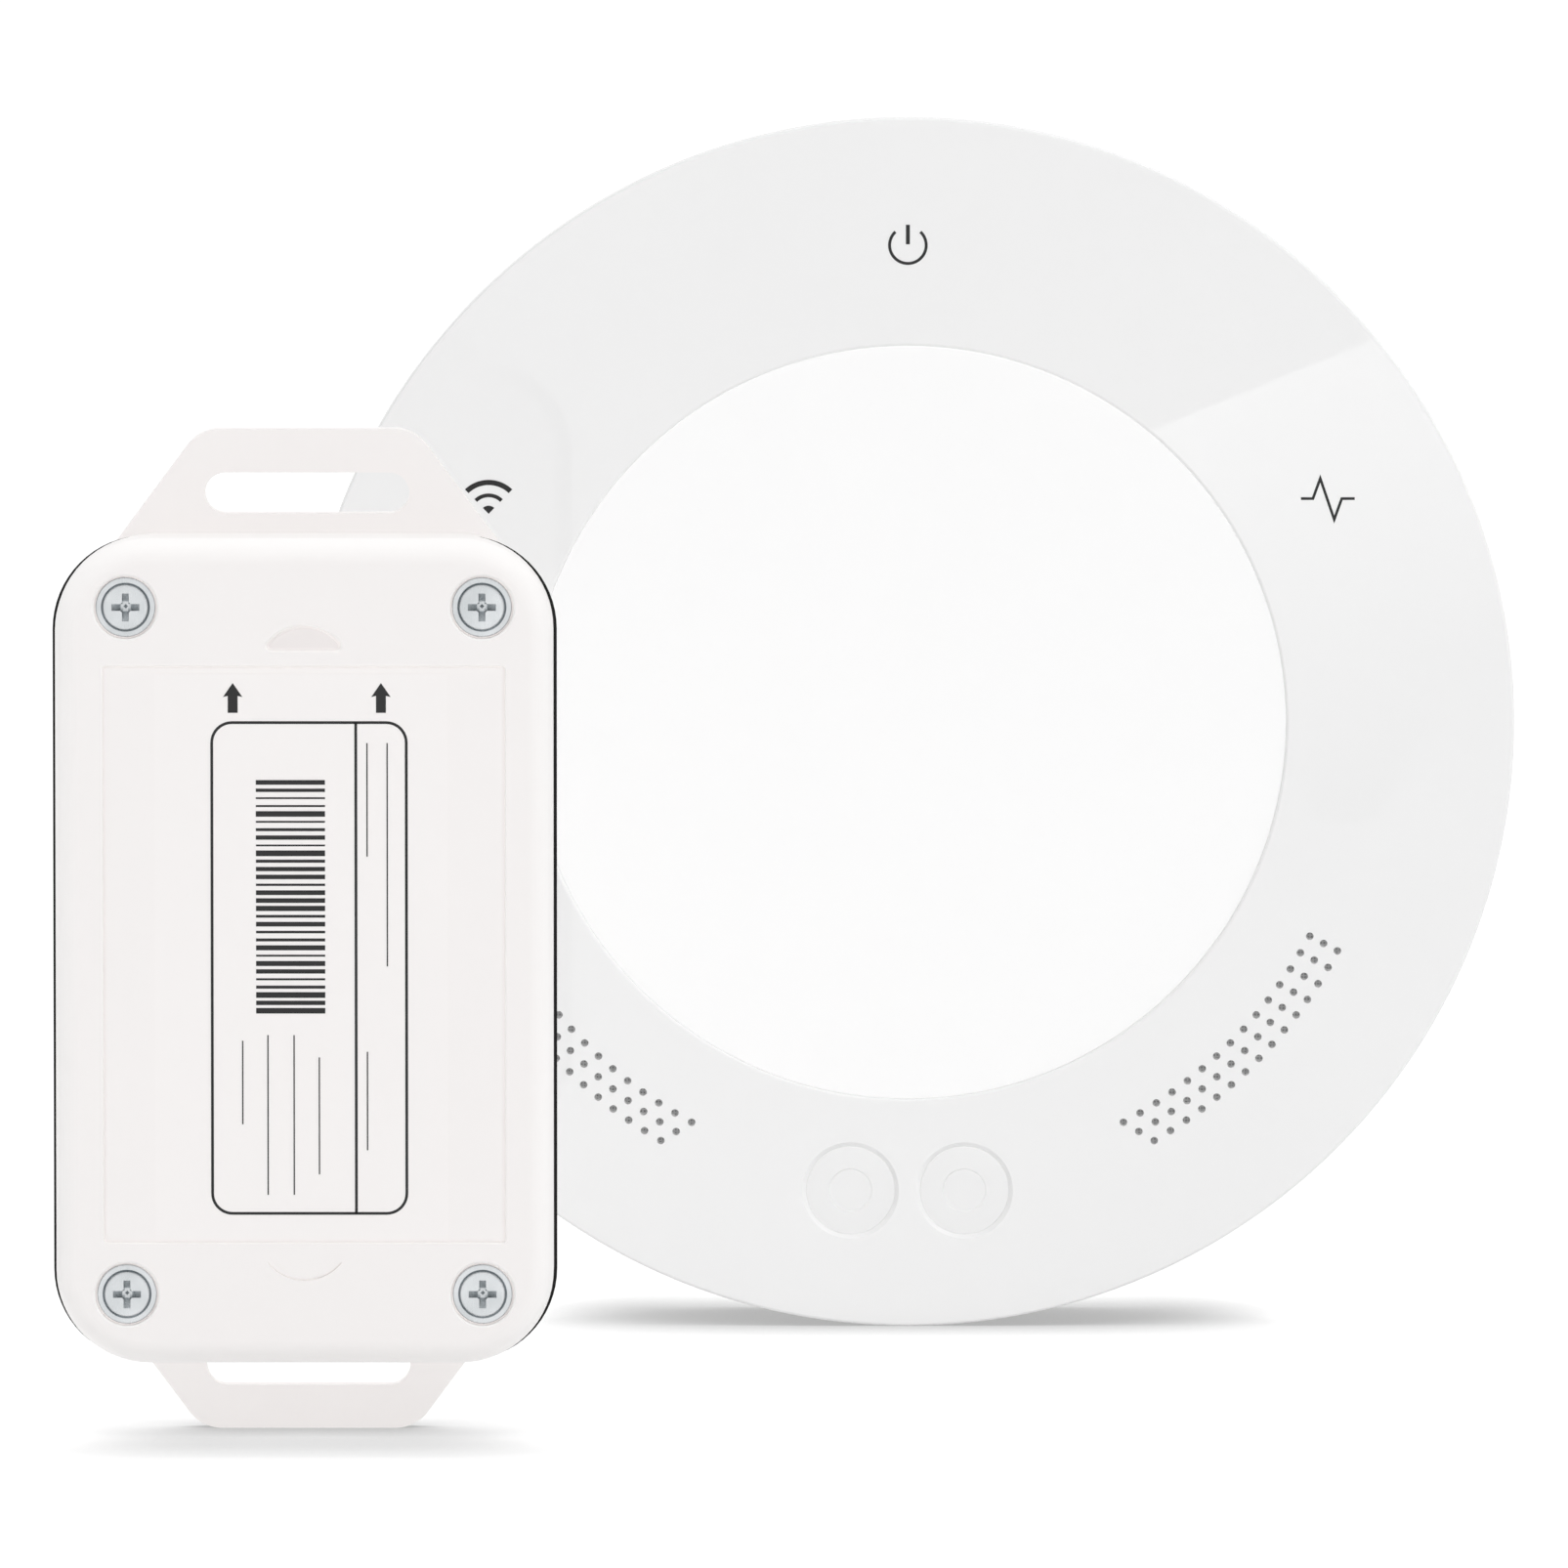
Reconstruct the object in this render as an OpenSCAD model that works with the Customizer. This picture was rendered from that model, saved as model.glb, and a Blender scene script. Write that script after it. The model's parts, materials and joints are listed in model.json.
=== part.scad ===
// Garage door controller set: a round wall hub with a ring face, and the wireless sensor for the door.
// The hub's axis meets the wall at the origin. The wall is the plane y = 0, the hub faces -Y and +Z is up.
// Hub pieces are drawn lying on the wall: x to the right, y up, z away from the wall. Lengths in millimetres.

/* [Hub shells] */
// Outside diameter of the front ring
hub_d = 135; // [132:1:150]
// Distance from the wall to the face of the ring
hub_depth = 30; // [29:0.5:36]
// Wall thickness of the two hub shells
shell_wall = 2.2; // [1.8:0.1:2.8]
// Radius that rounds the back edge of the rear housing
dish_edge_r = 15; // [10:1:17]
// Distance from the wall to the seam between the shells
seam_w = 20; // [19:0.5:21]
// How far the ring stands out past the shells
ring_overhang = 1; // [0.4:0.1:1.6]
// Height of the lip that centres the shells on each other
lip_h = 2.5; // [1.5:0.5:3]
// Thickness of that lip
lip_t = 1.4; // [1:0.1:2]
// Width of the shadow line at the seam
reveal = 0.5; // [0.3:0.1:0.8]

/* [Hub front] */
// Width of the ring's face, from its edge to its opening
ring_band = 25.4; // [24:0.2:27.4]
// Thickness of the ring
ring_t = 2.2; // [1.8:0.1:2.8]
// Radius on the ring's outer front edge
ring_edge_r = 0.9; // [0.4:0.1:1.4]
// Radius on the ring's inner front edge
ring_lip_r = 0.4; // [0.2:0.1:0.8]
// Thickness of the adhesive tape behind the ring
tape_t = 0.2; // [0.1:0.05:0.4]
// Depth of the centre disc below the ring's face
disc_recess = 0.7; // [0.3:0.1:1.2]
// Radius on the centre disc's front edge
disc_edge_r = 0.5; // [0.2:0.1:0.8]
// Gap round the centre disc
disc_gap = 0.2; // [0.1:0.05:0.4]
// Diameter of the pegs behind the centre disc
peg_d = 3; // [2:0.5:4]
// Distance of the pegs from the hub's axis
peg_r = 30; // [20:1:38]
// Distance from the ring's edge to the middle of a light
light_inset = 14.4; // [13:0.2:16.6]
// Angle of the side lights above the horizontal
light_angle = 28; // [20:1:36]
// Diameter of a light pipe
pipe_d = 4; // [3:0.2:5]

/* [Buttons] */
// Distance between the two button centres
button_pitch = 12.7; // [12.4:0.1:17]
// Distance from the ring's lowest edge up to the buttons
button_inset = 15.2; // [14.2:0.2:18]
// Diameter of a button's cap
button_d = 9.6; // [8:0.1:10]
// Gap between a cap and its well
well_gap = 0.15; // [0.1:0.05:0.3]
// Width of the bevel round a well
well_bevel = 0.4; // [0.2:0.1:0.6]
// Depth of a cap below the ring's face
cap_recess = 0.2; // [0:0.1:0.5]
// Diameter of the dimple in a cap
dimple_d = 4.8; // [3.6:0.2:6.4]
// Depth of that dimple
dimple_depth = 0.25; // [0.1:0.05:0.4]
// Width of the flange that keeps a cap behind the ring
flange_w = 0.8; // [0.5:0.1:1]
// Thickness of the flange
flange_t = 0.9; // [0.6:0.1:1.2]
// Diameter of the stem behind a cap
stem_d = 5; // [4:0.5:6]
// Travel of a button
button_travel = 0.6; // [0.3:0.1:0.9]
// Width of a switch's square body
switch_w = 6; // [5:0.5:7]
// Height of a switch's body
switch_h = 3.4; // [2.6:0.2:4]
// Diameter of a switch's plunger
plunger_d = 3.5; // [2.5:0.1:4]
// Height of a plunger's top above the board
plunger_h = 8; // [6:0.5:9]

/* [Grilles] */
// Diameter of a grille hole
hole_d = 0.85; // [0.65:0.05:1.1]
// Distance between the holes of a row
hole_pitch = 2.13; // [1.9:0.01:2.3]
// Holes in a row
hole_count = 15; // [9:1:15]
// Rows of holes
hole_rows = 3; // [2:1:3]
// Distance between rows
row_step = 1.74; // [1.5:0.02:2]
// Distance from the ring's edge to the outer row
grille_inset = 13.3; // [12.6:0.1:15]
// Angle of a row's first hole below the horizontal
grille_start = 28; // [22:1:30]
// Margin of the sound window round the holes
window_margin = 0.9; // [0.5:0.1:1.2]
// Width of the grille cloth's glued edge
cloth_lap = 1; // [0.6:0.1:1.4]

/* [Speakers] */
// Width of a speaker's rim round its window
speaker_lap = 1.6; // [1.2:0.1:2]
// Thickness of a speaker
speaker_t = 4.2; // [3.4:0.1:5]
// Depth of the ledge that a cone lies on
cone_seat = 0.8; // [0.6:0.1:1]
// Thickness of a cone
cone_t = 0.4; // [0.3:0.1:0.6]
// Depth of the air space behind a cone
cone_room = 1.6; // [1:0.1:2]
// Thickness of a speaker's gasket
gasket_t = 0.4; // [0.2:0.1:0.8]

/* [Wall fixing] */
// Distance between the two keyholes
keyhole_span = 60; // [50:1:68]
// Height of the keyholes' round ends above the hub's axis
keyhole_up = 4; // [0:1:10]
// Diameter of a keyhole's round end
keyhole_d = 8.4; // [7.4:0.2:9.4]
// Width of a keyhole's slot
keyhole_slot = 4.4; // [3.4:0.2:5]
// Distance that a wall screw slides up a keyhole
keyhole_slide = 9; // [7:0.5:12]
// Depth of the pocket behind a keyhole, from the wall
keyhole_depth = 8; // [6:0.5:9]
// Wall thickness of that pocket
pocket_wall = 1.4; // [1:0.1:1.8]

/* [Vents] */
// Vent slots in the back
vent_count = 7; // [3:2:9]
// Distance between vent slots
vent_pitch = 6; // [4:0.5:7]
// Width of a vent slot
vent_w = 1.6; // [1:0.1:2.4]
// Length of a vent slot
vent_l = 16; // [8:1:18]
// Height of the vent slots' middle above the hub's axis
vent_up = 36; // [32:1:40]

/* [Wiring bay] */
// Width of the bay in the back
bay_w = 50; // [48:1:54]
// Depth of the bay
bay_depth = 11.4; // [11:0.1:12]
// Distance from the hub's axis down to the bay's top wall
bay_drop = 33; // [31:1:35]
// Thickness of the bay's walls
bay_wall = 1.8; // [1.2:0.1:2.2]
// Thickness of the bay's floor
bay_floor_t = 1.6; // [1.2:0.1:2]
// Gap round what stands in the bay's floor
bay_gap = 0.4; // [0.3:0.1:0.6]
// Wire ways of the terminal block
pole_count = 8; // [4:2:8]
// Distance between wire ways
pole_pitch = 3.81; // [3.5:0.01:3.9]
// Size of the terminal block up the back
terminal_v = 8.2; // [7:0.1:9]
// Height of the terminal block off the board
terminal_h = 10; // [8:0.5:11]
// Width of a wire way
wire_way = 2.4; // [1.8:0.1:2.6]
// Diameter of a terminal screw
clamp_d = 2.6; // [2:0.1:2.8]
// Width of the power inlet
jack_w = 9; // [8:0.5:10]
// Length of the power inlet
jack_l = 14; // [12:0.5:15]
// Height of the power inlet off the board
jack_h = 11; // [10:0.5:11.5]
// Diameter of the inlet's socket
socket_d = 6.2; // [5.6:0.1:6.6]
// Depth of the inlet's socket
socket_l = 10; // [8:0.5:11]
// Diameter of the inlet's pin
pin_d = 2; // [1.6:0.1:2.5]
// Length of the inlet's pin
pin_l = 8.5; // [6:0.5:9]

/* [Hub board] */
// Thickness of the main board
board_t = 1.6; // [1:0.2:2]
// Gap between the bay's floor and the main board
board_gap = 0.6; // [0.3:0.1:1]
// Width between the main board's edge and the shell
board_margin = 6.5; // [5:0.1:7]
// Width and height of the processor
processor_w = 16; // [12:1:20]
// Width of the radio module
radio_w = 18; // [16:1:20]
// Height of the radio module up the board
radio_v = 26; // [24:1:30]
// Rim of the radio module's board round its shield
radio_rim = 1.5; // [1:0.1:2.5]
// Height of the radio shield
shield_h = 2.2; // [1.6:0.1:3]
// Length of a relay
relay_l = 14; // [12:0.5:15]
// Width of a relay
relay_w = 9; // [8:0.5:10]
// Height of a relay
relay_h = 5; // [4:0.5:7]
// Distance between relays
relay_pitch = 18; // [16:1:20]
// Diameter of a capacitor
capacitor_d = 6.3; // [5:0.1:8]
// Height of a capacitor
capacitor_h = 7; // [5:0.5:8]
// Width of the power inductor
inductor_w = 7; // [5:0.5:9]

/* [Hub screws] */
// Distance between the left and the right housing screws
screw_span = 64; // [62:1:68]
// Height of the upper housing screws above the hub's axis
screw_up = 36; // [33:1:38]
// Distance from the ring's foot up to the lower housing screws
screw_down = 45.5; // [43.5:0.5:49.5]
// Diameter of a housing screw
screw_d = 3; // [2.5:0.1:3.5]
// Length of a housing screw under its head
screw_l = 16; // [13:1:17]
// Depth of a housing screw's seat in the back
screw_seat = 5; // [4:0.5:6]
// Diameter of a screw head over its thread
head_over = 2.5; // [2:0.1:3]
// Height of a screw head
head_h = 2; // [1.4:0.1:2.2]

/* [Sensor place] */
// Distance of the sensor's middle to the left of the hub's axis
sensor_left = 65.1; // [0:0.1:90]
// Distance from the ring's face to the sensor's back
sensor_gap = 91.7; // [60:0.1:110]

/* [Sensor case] */
// Width of the sensor's case
case_w = 52.7; // [51:0.1:60]
// Height of the sensor's case without its tabs
case_h = 88.5; // [85:0.5:100]
// Depth of the sensor's case
case_d = 25.4; // [22.8:0.1:28]
// Corner radius of the case
case_r = 10; // [8.5:0.5:11]
// Radius on the cover's front edge
case_edge_r = 2.6; // [1.5:0.1:3.2]
// Wall thickness of the case
case_wall = 2; // [1.6:0.1:2.4]
// Height of the base, from the sensor's back
base_h = 18.2; // [17:0.1:18.6]
// How far the base lies back from the cover's sides
base_step = 1.3; // [0.8:0.1:1.6]
// Thickness of the seal between base and cover
seal_t = 1.2; // [0.8:0.1:1.6]
// How far the seal stands out at the two long sides
seal_proud = 0.65; // [0.3:0.05:0.9]
// How far the seal lies back at the two short sides
seal_back = 0.5; // [0.3:0.1:0.8]
// Distance from the case's sides to the screws
case_screw_inset = 7.3; // [7:0.1:8]
// Diameter of the wells that the screw heads sit in
head_well_d = 6.8; // [6.2:0.1:7.4]
// Depth of those wells, at the seat of the heads
head_well_depth = 2.6; // [2.2:0.1:3]
// Depth of the wider rim round a head
head_rim_depth = 0.9; // [0.5:0.1:1.4]
// Length of a case screw under its head
case_screw_l = 12; // [10:1:13]

/* [Sensor tabs] */
// Thickness of the strap tabs
tab_t = 2.2; // [1.6:0.1:3]
// How far a tab stands out from the base
tab_out = 11.2; // [10.4:0.1:13]
// Width of a tab where it leaves the base
tab_root_w = 39.6; // [36:0.1:41]
// Width of a tab's end, over its corners
tab_end_w = 23.2; // [22:0.2:30]
// Corner radius of a tab's end
tab_end_r = 4.5; // [2:0.5:5]
// Length of a strap slot
slot_l = 22; // [18:0.5:23]
// Width of a strap slot
slot_w = 4.4; // [4:0.1:5]
// Distance from a tab's end to the middle of its slot
slot_inset = 6.9; // [6:0.1:7.4]

/* [Sensor front] */
// Width of the shallow panel
panel_w = 43; // [38:0.5:44]
// Height of the panel
panel_h = 61.5; // [54:0.5:62]
// Depth of the panel
panel_depth = 0.3; // [0.2:0.05:0.5]
// Width of the label in the panel
label_w = 31.3; // [25:0.1:36]
// Thickness of the label
label_t = 0.15; // [0.1:0.05:0.2]
// Gap between the label's ends and the panel's edge
label_gap = 0.3; // [0.1:0.1:0.6]
// Width of the thumb notches over and under the panel
notch_w = 8.3; // [7:0.1:9]
// Height of a thumb notch
notch_h = 2.6; // [2:0.1:3]
// Depth of a thumb notch
notch_depth = 0.5; // [0.3:0.1:0.8]
// Distance from the panel to a thumb notch
notch_gap = 1.5; // [1:0.1:2]

/* [Sensor inside] */
// Distance from the sensor's back to its board
sensor_board_w = 8; // [6:0.5:9]
// Gap between the sensor's board and what is round it
sensor_board_gap = 1; // [0.5:0.1:1.5]
// Diameter of a board screw
tiny_d = 2; // [1.6:0.1:2.2]
// Length of a board screw under its head
tiny_l = 5; // [4:0.5:5]
// Diameter of the coin cell
cell_d = 24.5; // [20:0.5:25]
// Thickness of the coin cell
cell_t = 5; // [3.2:0.1:5]
// Height of the cell above the sensor's middle
cell_up = 12; // [8:1:13]
// Thickness of the cell holder's floor
holder_t = 1; // [0.8:0.1:1.6]
// Rim of the cell holder round the cell
holder_rim = 1.2; // [0.8:0.1:1.6]
// Thickness of the clip over the cell
clip_t = 0.4; // [0.3:0.1:0.6]
// Width of that clip
clip_w = 8; // [5:0.5:10]
// Outside diameter of the tilt switch
tilt_d = 5.2; // [4.8:0.1:6]
// Length of the tilt switch's can
tilt_l = 12; // [10:0.5:14]
// Wall thickness of the can
tilt_wall = 0.65; // [0.5:0.05:0.8]
// Diameter of the ball in the can
ball_d = 3.4; // [3:0.1:3.5]
// Depth of the plug in the can
plug_l = 2; // [1.5:0.1:3]
// Thickness of the plug's foot
foot_t = 1; // [0.6:0.1:1.4]
// Width of the radio chip
chip_w = 7; // [5:0.5:8]
// Length of the antenna strip
antenna_l = 26; // [20:1:28]
// Height of the antenna strip over the board
antenna_h = 4; // [3:0.5:6]

/* [Hidden] */
$fn = 96;

// How far a cut runs past the face that it opens
cut = 1;
// How far a boss or wall is sunk in the wall that it grows from
root = 0.5;
// Clearance of a screw, peg or lip in its hole
fit = 0.15;
// Clearance of a moving or a light piece in its opening
loose = 0.3;
// Clearance of a thread in its pilot hole
thread_gap = 0.05;
// Gap between a button's flange and the ring
button_play = 0.1;

// Hub levels, measured from the wall
ring_back = hub_depth - ring_t;
plate_front = ring_back - tape_t;
plate_back = plate_front - shell_wall;
board_back = bay_depth + bay_floor_t + board_gap;
board_front = board_back + board_t;
disc_face = hub_depth - disc_recess;
cap_face = hub_depth - cap_recess;
flange_front = ring_back - button_play;
flange_back = flange_front - flange_t;
plunger_top = board_front + plunger_h;
switch_top = board_front + switch_h;
plunger_in = 1;
led_size = [2.8, 3.5, 1.2];
led_top = board_front + led_size[2];

// Hub radii and places
hub_r = hub_d / 2;
rim_r = hub_r - ring_overhang;
shell_r = rim_r - shell_wall;
lip_r = shell_r - fit;
bore_r = hub_r - ring_band;
board_r = shell_r - board_margin;
light_angles = [90, 180 - light_angle, light_angle];
light_r = hub_r - light_inset;
button_v = button_inset - hub_r;
well_r = button_d / 2 + well_gap;
flange_r = button_d / 2 + flange_w;

// Grille rows, sound windows and speakers
row_r = [for (k = [0:hole_rows - 1]) hub_r - grille_inset - k * row_step];
hole_reach = hole_d / 2 + window_margin;
window_in = row_r[hole_rows - 1] - hole_reach;
window_out = row_r[0] + hole_reach;
grille_span = (hole_count - 1) * hole_step(row_r[hole_rows - 1]);
grille_mid = grille_start + grille_span / 2;
window_half = grille_span / 2 + hole_reach / window_in * 180 / PI;
window_chord = window_in * cos(window_half);
speaker_r = (window_chord + window_out) / 2;
speaker_w = window_out - window_chord + 2 * speaker_lap;
speaker_l = 2 * window_out * sin(window_half) + 2 * speaker_lap;
speaker_front = plate_back - gasket_t;

// Bay and connectors
bay_top = -bay_drop;
connector_v = bay_top - root;
terminal_w = pole_count * pole_pitch;
connector_gap = 3.5;
terminal_x = -(terminal_w + connector_gap + jack_w) / 2;
jack_x = terminal_x + terminal_w + connector_gap;
wire_way_w = board_back - 3.5;
clamp_h = 1.5;
clamp_well = 2.5;
socket_w = board_back - jack_h / 2;

// Places and heights on the hub's board
processor_y = 2;
processor_h = 1.4;
memory_size = [8, 6, 1.2];
memory_gap = 3;
memory_x = processor_w / 2 + memory_gap + memory_size[0] / 2;
memory_y = [-5, 9];
radio_gap = 5;
radio_x = -processor_w / 2 - radio_gap - radio_w / 2;
radio_y = 14;
radio_t = 1;
antenna_room = 6;
relay_y = -24;
capacitor_gap = 12;
capacitor_x = processor_w / 2 + capacitor_gap;
capacitor_y = [15.6, 26.6, 37.6];
inductor_y = 24;
inductor_h = 4;

// Screws
head_d = screw_d + head_over;
boss_wall = 1.75;
boss_d = head_d + 2 * boss_wall;
post_wall = 1.9;
post_d = screw_d + 2 * post_wall;

// Sensor levels, measured from its back, and places
base_x = case_w - 2 * base_step;
base_y = case_h - 2 * base_step;
base_r = case_r - base_step;
sensor_z = -hub_r + tab_out + base_y / 2;
cover_w = base_h + seal_t;
inner_w = base_x - 2 * case_wall;
inner_h = base_y - 2 * case_wall;
inner_r = base_r - case_wall;
case_screw_x = case_w / 2 - case_screw_inset;
case_screw_y = case_h / 2 - case_screw_inset;
head_seat = case_d - head_well_depth;
base_post_wall = 2.8;
base_post_d = screw_d + 2 * base_post_wall;
tab_toe = 1.5;
cover_post_wall = 1.6;
cover_post_d = head_well_d + 2 * cover_post_wall;
sensor_board_t = 1.6;
sensor_board_top = sensor_board_w + sensor_board_t;
sensor_board_x = inner_w - 2 * sensor_board_gap;
sensor_board_y = 2 * (case_screw_y - base_post_d / 2 - sensor_board_gap);
tiny_inset = 3;
tiny_head_d = 2 * tiny_d - 0.2;
tiny_head_h = 1.3;
cell_x = sensor_board_x / 2 - cell_d / 2 - holder_rim - tiny_inset - tiny_head_d / 2;
holder_d = cell_d + 2 * holder_rim;
cell_w = sensor_board_top + holder_t;
clip_leg = holder_d / 2 + loose;
tilt_x = -sensor_board_x / 2 + tilt_d;
tilt_v = -cell_up / 2;
tilt_w = sensor_board_top + tilt_d / 2 + thread_gap;
tilt_bore_d = tilt_d - 2 * tilt_wall;
ball_v = tilt_v + plug_l + ball_d / 2 + thread_gap;
chip_h = 1;
crystal_size = [5, 3.2, 1.2];
panel_x = -0.3;
panel_y = -0.6;

function hole_step(r) = hole_pitch / r * 180 / PI;

// Shared placements and shapes

module on_wall() rotate([90, 0, 0]) children();

module on_sensor()
  translate([-sensor_left, -hub_depth - sensor_gap, sensor_z])
    rotate([90, 0, 0]) children();

module both_sides() {
  children();
  mirror([1, 0, 0]) children();
}

module four_corners(x, y)
  for (sx = [-1, 1], sy = [-1, 1])
    translate([sx * x, sy * y, 0]) children();

module at_housing_screws()
  for (sx = [-1, 1], y = [screw_up, screw_down - hub_r])
    translate([sx * screw_span / 2, y, 0]) children();

module at_button(side) translate([side * button_pitch / 2, button_v, 0]) children();

module at_light(k) rotate(light_angles[k]) translate([light_r, 0, 0]) children();

module at_speaker(side)
  mirror([side < 0 ? 1 : 0, 0, 0]) rotate(-grille_mid) translate([speaker_r, 0, 0]) children();

module rounded_rect(w, h, r) {
  square([w - 2 * r, h], center = true);
  square([w, h - 2 * r], center = true);
  four_corners(w / 2 - r, h / 2 - r) circle(r);
}

module slot_outline(l, w) {
  square([l - w, w], center = true);
  for (s = [-1, 1]) translate([s * (l - w) / 2, 0]) circle(d = w);
}

module box_on(x, y, w, size) translate([x - size[0] / 2, y - size[1] / 2, w]) cube(size);

// Half section of an edge r wide and t high, with its outer top corner rounded by f
module edge_section(r, t, f) {
  intersection() {
    square([r, t]);
    union() {
      square([r - f, t]);
      square([r, t - f]);
      translate([r - f, t - f]) circle(f);
    }
  }
}

// Slab with round corners r and a front edge rounded by f
module soft_slab(w, h, t, r, f) {
  translate([r - w / 2, r - h / 2, 0]) cube([w - 2 * r, h - 2 * r, t]);
  for (k = [0:3]) {
    a = k % 2 == 0 ? w : h;
    b = k % 2 == 0 ? h : w;
    rotate(90 * k) translate([a / 2 - r, b / 2 - r, 0]) {
      rotate_extrude(angle = 90) edge_section(r, t, f);
      rotate([90, 0, 0]) linear_extrude(b - 2 * r) edge_section(r, t, f);
    }
  }
}

// Half section of a dish of radius r and depth d, with its back edge rounded by e
module dish_section(r, d, e) {
  intersection() {
    square([r, d]);
    union() {
      square([r - e, d]);
      translate([0, e]) square([r, d]);
      translate([r - e, e]) circle(e);
    }
  }
}

module dish(inset, top)
  translate([0, 0, inset]) rotate_extrude() dish_section(rim_r - inset, top - inset, dish_edge_r - inset);

module tube(r_out, r_in, h) {
  difference() {
    cylinder(r = r_out, h = h);
    translate([0, 0, -cut]) cylinder(r = r_in, h = h + 2 * cut);
  }
}

// Ring sector over one grille: the sound window grown by a margin
module grille_sector(margin, h) {
  half = window_half + margin / window_in * 180 / PI;
  rotate(-grille_mid - half)
    rotate_extrude(angle = 2 * half)
      translate([window_in - margin, 0]) square([window_out - window_in + 2 * margin, h]);
}

module grille_holes()
  for (r = row_r, i = [0:hole_count - 1])
    rotate(-grille_start - i * hole_step(r))
      translate([r, 0, ring_back - cut]) cylinder(d = hole_d, h = ring_t + 2 * cut, $fn = 24);

// Hub shells

module keyhole_run(d) {
  circle(d = d);
  translate([-d / 2, 0]) square([d, keyhole_slide]);
  translate([0, keyhole_slide]) circle(d = d);
}

module at_keyhole() translate([keyhole_span / 2, keyhole_up, 0]) children();

module keyhole_cut() {
  translate([0, 0, -cut]) cylinder(d = keyhole_d, h = shell_wall + 2 * cut);
  translate([0, 0, -cut]) linear_extrude(shell_wall + 2 * cut) keyhole_run(keyhole_slot);
  translate([0, 0, shell_wall]) linear_extrude(keyhole_depth - shell_wall) keyhole_run(keyhole_d + 2 * fit);
}

module bay_block(side, top, from, to)
  translate([-bay_w / 2 - side, -hub_d, from]) cube([bay_w + 2 * side, hub_d + bay_top + top, to - from]);

module connector_cut(x, w, v)
  translate([x - bay_gap, connector_v - v - bay_gap, bay_depth - cut])
    cube([w + 2 * bay_gap, v + 2 * bay_gap, bay_floor_t + 2 * cut]);

module rear_housing() {
  color("whitesmoke") on_wall() difference() {
    union() {
      difference() {
        dish(0, seam_w);
        dish(shell_wall, seam_w + cut);
      }
      intersection() {
        dish(0, seam_w);
        bay_block(bay_wall, bay_wall, 0, bay_depth + bay_floor_t);
      }
      at_housing_screws()
        translate([0, 0, shell_wall - root]) cylinder(d = boss_d, h = board_back - shell_wall + root);
      both_sides() at_keyhole() translate([0, 0, shell_wall - root])
        linear_extrude(keyhole_depth + pocket_wall - shell_wall + root)
          keyhole_run(keyhole_d + 2 * fit + 2 * pocket_wall);
    }
    bay_block(0, 0, -cut, bay_depth);
    connector_cut(terminal_x, terminal_w, terminal_v);
    connector_cut(jack_x, jack_w, jack_l);
    at_housing_screws() {
      translate([0, 0, -cut]) cylinder(d = head_d + 4 * fit, h = screw_seat + cut);
      translate([0, 0, -cut]) cylinder(d = screw_d + 2 * fit, h = board_back + 2 * cut);
    }
    both_sides() at_keyhole() keyhole_cut();
    for (i = [0:vent_count - 1])
      translate([(i - (vent_count - 1) / 2) * vent_pitch, vent_up, -cut])
        rotate(90) linear_extrude(shell_wall + 2 * cut) slot_outline(vent_l, vent_w);
  }
}

module front_housing() {
  color("white") on_wall() difference() {
    union() {
      difference() {
        translate([0, 0, seam_w]) cylinder(r = rim_r, h = plate_front - seam_w);
        translate([0, 0, seam_w - cut]) cylinder(r = shell_r, h = plate_back - seam_w + cut);
      }
      translate([0, 0, seam_w - lip_h]) tube(lip_r, lip_r - lip_t, 2 * lip_h);
      translate([0, 0, seam_w]) tube(shell_r + root, lip_r - lip_t, lip_h);
      at_housing_screws()
        translate([0, 0, board_front]) cylinder(d = post_d, h = plate_back - board_front + root);
    }
    translate([0, 0, seam_w - cut]) tube(hub_r, rim_r - reveal, reveal + cut);
    at_housing_screws() translate([0, 0, board_front - cut])
      cylinder(d = screw_d + 2 * thread_gap, h = screw_seat + screw_l - board_front + 2 * cut);
    for (side = [-1, 1]) at_button(side)
      translate([0, 0, plate_back - cut]) cylinder(r = flange_r + loose, h = shell_wall + 2 * cut);
    for (k = [0:2]) at_light(k)
      translate([0, 0, plate_back - cut]) cylinder(d = pipe_d + 2 * fit, h = shell_wall + 2 * cut);
    both_sides() translate([0, 0, plate_back - cut]) grille_sector(0, shell_wall + 2 * cut);
    at_pegs() translate([0, 0, plate_back - cut]) cylinder(d = peg_d + 2 * fit, h = shell_wall + 2 * cut);
  }
}

// Hub front

module ring_section() {
  translate([bore_r, 0]) square([ring_lip_r, ring_t - ring_lip_r]);
  translate([bore_r + ring_lip_r, 0]) square([hub_r - ring_edge_r - bore_r - ring_lip_r, ring_t]);
  translate([hub_r - ring_edge_r, 0]) square([ring_edge_r, ring_t - ring_edge_r]);
  translate([bore_r + ring_lip_r, ring_t - ring_lip_r]) circle(ring_lip_r);
  translate([hub_r - ring_edge_r, ring_t - ring_edge_r]) circle(ring_edge_r);
}

module ring_fascia() {
  color("snow") on_wall() difference() {
    translate([0, 0, ring_back]) rotate_extrude() ring_section();
    both_sides() grille_holes();
    for (side = [-1, 1]) at_button(side) {
      translate([0, 0, ring_back - cut]) cylinder(r = well_r, h = ring_t + 2 * cut);
      translate([0, 0, hub_depth - well_bevel])
        cylinder(r1 = well_r, r2 = well_r + 2 * well_bevel, h = 2 * well_bevel);
    }
  }
}

module at_pegs() for (k = [0:2]) rotate(90 + 120 * k) translate([peg_r, 0, 0]) children();

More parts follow.
